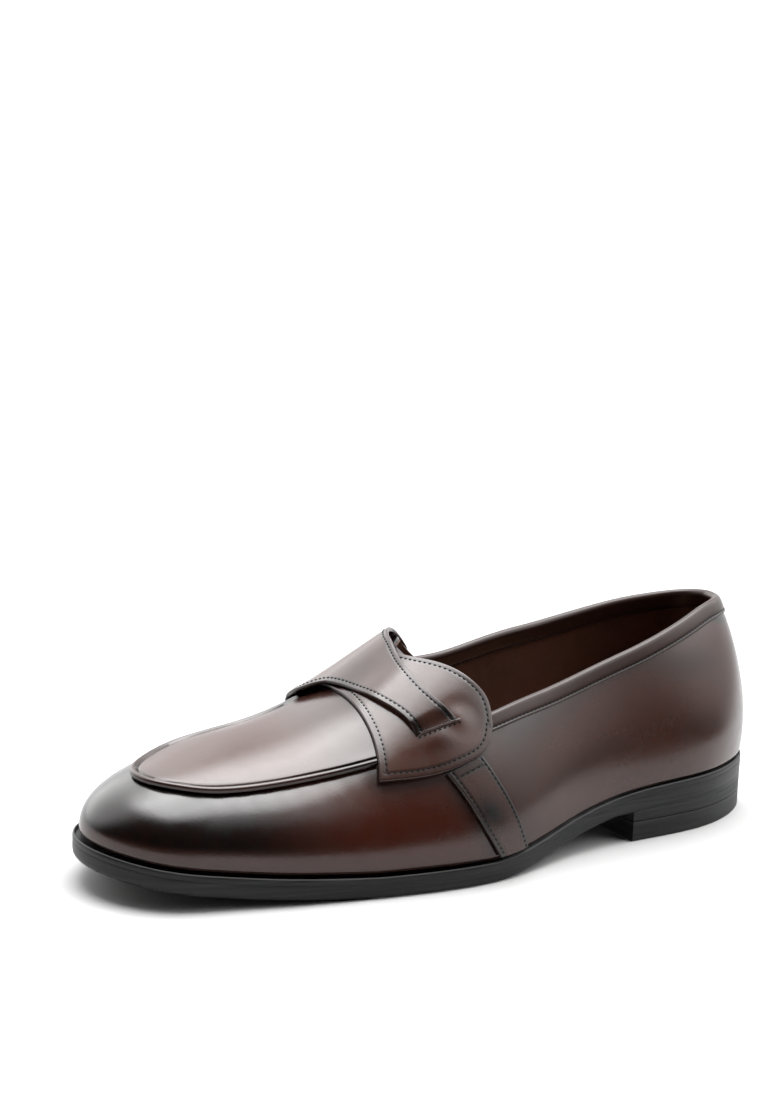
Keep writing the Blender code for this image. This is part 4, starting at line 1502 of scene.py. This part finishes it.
@dataclass
class Uppers:
    """The cut pieces on the instep and sides, with their seams."""

    last: Last
    calf: bpy.types.Material
    strip_calf: bpy.types.Material
    thread: bpy.types.Material
    # x, share of the rib: lateral above 0, medial below
    wing_front: Table = ((51.5, 0.596), (48.4, 0.466), (46.5, 0.303), (45.7, 0.100), (46.0, -0.050),
                         (46.0, -0.160), (45.0, -0.270))
    wing_rear: Table = ((4.6, 0.548), (3.8, 0.472), (6.1, 0.406), (10.1, 0.336), (16.9, 0.238),
                        (22.5, 0.135), (23.5, -0.050), (19.5, -0.160), (14.0, -0.270))
    wing_foot: Table = ((51.5, 0.596), (40.6, 0.626), (27.1, 0.643), (17.3, 0.636), (11.0, 0.622),
                        (6.8, 0.588), (4.6, 0.548))
    strap_front: Table = ((53.0, -0.560), (53.6, -0.420), (53.4, -0.280), (52.4, -0.170), (48.8, -0.080),
                          (44.8, 0.040), (42.6, 0.140), (38.2, 0.316), (35.1, 0.408), (33.6, 0.484))
    strap_rear: Table = ((3.6, -0.500), (3.2, -0.430), (6.5, -0.340), (13.0, -0.200), (18.0, -0.080),
                         (21.1, 0.027), (24.4, 0.146), (25.2, 0.258), (23.7, 0.360), (18.0, 0.490))
    strap_foot: Table = ((53.0, -0.560), (40.0, -0.592), (27.0, -0.610), (14.0, -0.590), (6.5, -0.550),
                         (3.6, -0.500))
    strip_front: Table = ((26.4, 0.652), (18.2, 0.798), (12.6, 0.898), (7.2, 0.985))
    strip_rear: Table = ((11.4, 0.632), (3.2, 0.775), (-1.6, 0.870), (-6.4, 0.985))
    strip_front_medial: Table = ((32.0, -0.617), (26.0, -0.760), (20.0, -0.890), (15.0, -0.985))
    strip_rear_medial: Table = ((16.0, -0.604), (9.0, -0.750), (3.5, -0.880), (-1.0, -0.985))

    def shadow_and_burnishing_lines(self) -> list[Array]:
        """Edges along which the upper is darkened: painted shadow beside the overlapping pieces, with
        burnishing.
        """
        tables = (self.wing_foot, self.strap_foot, self.strip_front, self.strip_rear, self.strip_front_medial,
                  self.strip_rear_medial)
        return [self.last.line(t) for t in tables]

    def build(self) -> None:
        """Build wing, strap and strips and sew them."""
        seam, fine_seam = Seam(), Seam(radius=0.26)
        wing = Wing(self.last, "wing", "wing", self.calf, self.wing_front, self.wing_rear, self.wing_foot,
                    straight(self.wing_front, self.wing_rear), thick=2.5,
                    rows=((Edge.FRONT, 2.7), (Edge.FOOT, 2.6), (Edge.REAR, 2.0)))
        strap = Strap(self.last, "strap", "strap", self.calf, self.strap_front, self.strap_rear,
                      self.strap_foot, straight(self.strap_front, self.strap_rear), thick=1.9,
                      rows=((Edge.FRONT, 2.1), (Edge.REAR, 1.9), (Edge.FOOT, 2.2)))
        wing.build()
        wing.slit_lip()
        strap.build()
        wing.sew(seam, self.thread)
        strap.sew(seam, self.thread)
        for node, front, rear in (("strip_lateral", self.strip_front, self.strip_rear),
                                  ("strip_medial", self.strip_front_medial, self.strip_rear_medial)):
            strip = Strip(self.last, node, "strip", self.strip_calf, front, rear, (front[0], rear[0]),
                          straight(front, rear), thick=1.5, rolled=(Edge.FRONT, Edge.REAR),
                          rows=((Edge.REAR, 1.2), (Edge.FRONT, 1.7), (Edge.FOOT, 3.0)))
            strip.build()
            strip.sew(fine_seam, self.thread)


@dataclass(frozen=True)
class Glow:
    """Soft patch of light in the room, as the camera sees it."""

    right: float
    away: float
    up: float
    # cosine of the angle from its middle where it starts, and where it is full
    start: float
    full: float
    level: float


@dataclass
class Studio:
    """Pale floor, soft light and the camera of the photograph."""

    last: Last
    # camera: degrees, millimetres on the last, and pixels
    azimuth: float = 32.0
    elevation: float = 15.2
    distance: float = 620.0
    aim: Triple = (0.0, 0.0, 40.0)
    yaw: float = -2.6
    pitch: float = 6.8
    roll: float = 2.5
    focal_px: float = 1549.0
    image_height: float = 1100.0
    # light
    room_level: float = 0.005
    far: Glow = Glow(0.0, 1.0, 0.0, 0.15, 0.82, 1.5)
    top: Glow = Glow(0.0, 0.2079, 0.9781, 0.82, 0.95, 8.0)
    fill: Glow = Glow(0.81, 0.14, 0.57, 0.67, 0.96, 1.5)
    high: Glow = Glow(0.63, 0.11, 0.77, 0.76, 0.95, 2.2)
    left: Glow = Glow(-1.0, 0.6, 0.8, 0.71, 0.96, 2.5)
    # soft box: metres and watts
    box_spot: Triple = (0.05, -0.25, 1.3)
    box_aim: Triple = (0.03, 0.0, 0.05)
    box_size: tuple[float, float] = (1.0, 0.8)
    box_power: float = 6.0
    # floor, card and dome: metres
    floor_radii: tuple[float, ...] = (0.001, 0.3, 0.8, 2.0, 6.0, 14.0)
    card_grey: float = 0.40
    card_right: float = 0.27
    card_reach: float = 2.0
    card_height: float = 0.0002
    dome: float = 13.0
    dome_low: float = -8.0
    dome_level: float = 1.05

    @property
    def axes(self) -> Array:
        """Level directions to the camera's right and away from it, and up."""
        turn = math.radians(self.azimuth)
        return np.array([[-math.cos(turn), math.sin(turn), 0.0], [-math.sin(turn), -math.cos(turn), 0.0],
                         [0.0, 0.0, 1.0]])

    def camera(self) -> None:
        """Place the camera at the photograph's angle."""
        az, el, yaw, pitch, roll = (math.radians(k) for k in
                                    (self.azimuth, self.elevation, self.yaw, self.pitch, self.roll))
        back = np.array([math.sin(az) * math.cos(el), math.cos(az) * math.cos(el), math.sin(el)])
        spot = np.array(self.aim) + back * self.distance
        ahead = -back
        right = unit(np.cross(ahead, (0, 0, 1)))
        up = np.cross(right, ahead)
        ahead, up = (math.cos(pitch) * ahead + math.sin(pitch) * up,
                     math.cos(pitch) * up - math.sin(pitch) * ahead)
        ahead, right = (math.cos(yaw) * ahead + math.sin(yaw) * right,
                        math.cos(yaw) * right - math.sin(yaw) * ahead)
        right, up = math.cos(roll) * right + math.sin(roll) * up, math.cos(roll) * up - math.sin(roll) * right
        lens = bpy.data.cameras.new("photo_camera")
        lens.sensor_fit = "VERTICAL"
        lens.sensor_height = 36.0
        lens.lens = lens.sensor_height * self.focal_px / self.image_height
        lens.clip_start = 0.01
        eye = bpy.data.objects.new("photo_camera", lens)
        place = np.eye(4)
        place[:3, :3] = np.stack([right, up, -ahead], 1)
        place[:3, 3] = self.last.place(spot)
        eye.matrix_world = Matrix(place.tolist())
        bpy.context.scene.collection.objects.link(eye)
        bpy.context.scene.camera = eye

    def hang(self, name: str, draft: Draft, finish: bpy.types.Material, hidden: tuple[str, ...]) -> None:
        """Put a piece of the stage in the room.

        Args:
            name: its name.
            draft: its points, in metres, and faces.
            finish: its material.
            hidden: kinds of ray that don't meet it.
        """
        mesh = bpy.data.meshes.new(name)
        mesh.from_pydata(np.vstack(draft.points).tolist(), [], draft.faces)
        mesh.materials.append(finish)
        obj = bpy.data.objects.new(name, mesh)
        bpy.context.scene.collection.objects.link(obj)
        for ray in hidden:
            setattr(obj, f"visible_{ray}", False)

    @staticmethod
    def rings(radii: Array, heights: Array, count: int) -> Draft:
        """Round sheet.

        Args:
            radii: radius of each ring, from the outside or the bottom.
            heights: height of each ring.
            count: points of a ring.

        Returns:
            The draft.
        """
        angle = np.linspace(0, 2 * np.pi, count, endpoint=False)
        flat = np.asarray(radii)[:, None, None] * np.stack([np.cos(angle), np.sin(angle)], -1)
        high = np.broadcast_to(np.asarray(heights)[:, None, None], (len(heights), count, 1))
        draft = Draft()
        draft.quads(draft.put(np.concatenate([flat, high], -1)), wrap=True)
        return draft

    def floor(self) -> None:
        """Lay the floor."""
        radii = np.array(self.floor_radii)[::-1]
        sheet = self.rings(radii, np.zeros(len(radii)), 96)
        self.hang("floor", sheet, Paper("floor_paper").material(), ("glossy",))

    def card(self) -> None:
        """Lay a pale card that only reflections see, which ends on the right of the shoe."""
        right, away, up = self.axes
        a = np.linspace(-self.card_reach, self.card_right, 24)[:, None, None]
        b = np.linspace(-self.card_reach, self.card_reach, 24)[None, :, None]
        draft = Draft()
        draft.quads(draft.put(a * right - b * away + self.card_height * up))
        self.hang("card", draft, Paper("card_paper", self.card_grey).material(),
                  ("camera", "diffuse", "transmission", "volume_scatter", "shadow"))

    def backdrop(self) -> None:
        """Hang a plain white dome that only the camera sees."""
        tilt = np.radians(np.linspace(self.dome_low, 90, 20))
        n = Nodes("backdrop_white")
        white = n.dress(Base_Color=(0.0, 0.0, 0.0), Roughness=1.0, Specular_IOR_Level=0.0,
                        Emission_Color=(1.0, 1.0, 1.0), Emission_Strength=self.dome_level)
        self.hang("backdrop", self.rings(self.dome * np.cos(tilt), self.dome * np.sin(tilt), 64), white,
                  ("diffuse", "glossy", "transmission", "volume_scatter", "shadow"))

    def sky(self) -> None:
        """Light the room: bright above and behind the shoe, dim behind the camera."""
        world = bpy.data.worlds.new("studio")
        world.use_nodes = True
        tree = world.node_tree
        coords = tree.nodes.new("ShaderNodeTexCoord")
        total = None
        for glow in (self.far, self.top, self.fill, self.high, self.left):
            dot = tree.nodes.new("ShaderNodeVectorMath")
            dot.operation = "DOT_PRODUCT"
            tree.links.new(coords.outputs["Generated"], dot.inputs[0])
            middle = unit(np.array([glow.right, glow.away, glow.up]) @ self.axes)
            dot.inputs[1].default_value = middle.tolist()
            span = tree.nodes.new("ShaderNodeMapRange")
            span.interpolation_type = "SMOOTHSTEP"
            tree.links.new(dot.outputs["Value"], span.inputs[0])
            for i, k in enumerate((glow.start, glow.full, 0.0, glow.level)):
                span.inputs[i + 1].default_value = k
            add = tree.nodes.new("ShaderNodeMath")
            tree.links.new(span.outputs[0], add.inputs[0])
            if total is None:
                add.inputs[1].default_value = self.room_level
            else:
                tree.links.new(total, add.inputs[1])
            total = add.outputs[0]
        back = tree.nodes["Background"]
        back.inputs["Color"].default_value = (1.0, 1.0, 1.0, 1.0)
        tree.links.new(total, back.inputs["Strength"])
        bpy.context.scene.world = world

    def soft_box(self) -> None:
        """Hang the soft box over the shoe."""
        light = bpy.data.lights.new("top_box", "AREA")
        light.shape = "RECTANGLE"
        light.size, light.size_y = self.box_size
        light.energy = self.box_power
        obj = bpy.data.objects.new("top_box", light)
        back = unit(np.array(self.box_spot) - np.array(self.box_aim))
        right = unit(np.cross((0.0, 1.0, 0.0), back))
        place = np.eye(4)
        place[:3, :3] = np.stack([right, np.cross(back, right), back], 1)
        place[:3, 3] = self.box_spot
        obj.matrix_world = Matrix(place.tolist())
        bpy.context.scene.collection.objects.link(obj)

    def build(self) -> None:
        """Set floor, light and camera."""
        self.floor()
        self.card()
        self.backdrop()
        self.sky()
        bpy.context.scene.view_settings.view_transform = "Standard"
        self.soft_box()
        self.camera()


def main() -> None:
    """Build the loafer in order and report each piece."""
    logging.basicConfig(level=logging.INFO, format="%(name)s %(message)s")
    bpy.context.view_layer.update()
    last = Last.fitted()
    calf = Calf("burnished_calf").material()
    apron_calf = Calf("apron_calf", rough=0.23).material()
    strip_calf = Calf("strip_calf", rough=0.28).material()
    band_calf = Calf("binding_calf", brown=(0.046, 0.0195, 0.0130), rough=0.32, gloss=0.28).material()
    lining = LiningLeather("lining_leather", (0.075, 0.026, 0.013), (0.045, 0.016, 0.009)).material()
    sock = LiningLeather("sock_leather", (0.20, 0.085, 0.040), (0.13, 0.052, 0.026)).material()
    thread = Thread("black_thread").material()
    sole = Sole(last, Rubber("sole_rubber").material(), Rubber("heel_rubber", rough=0.46).material(), sock)
    sole.build()
    cuts = Uppers(last, calf, strip_calf, thread)
    apron = Apron(last, apron_calf, cuts.wing_front)
    apron.build()
    Upper(last, calf, lining).build(apron.border(), cuts.shadow_and_burnishing_lines())
    cuts.build()
    Binding(last, band_calf, thread).build()
    Studio(last).build()


if __name__ == "__main__":
    main()
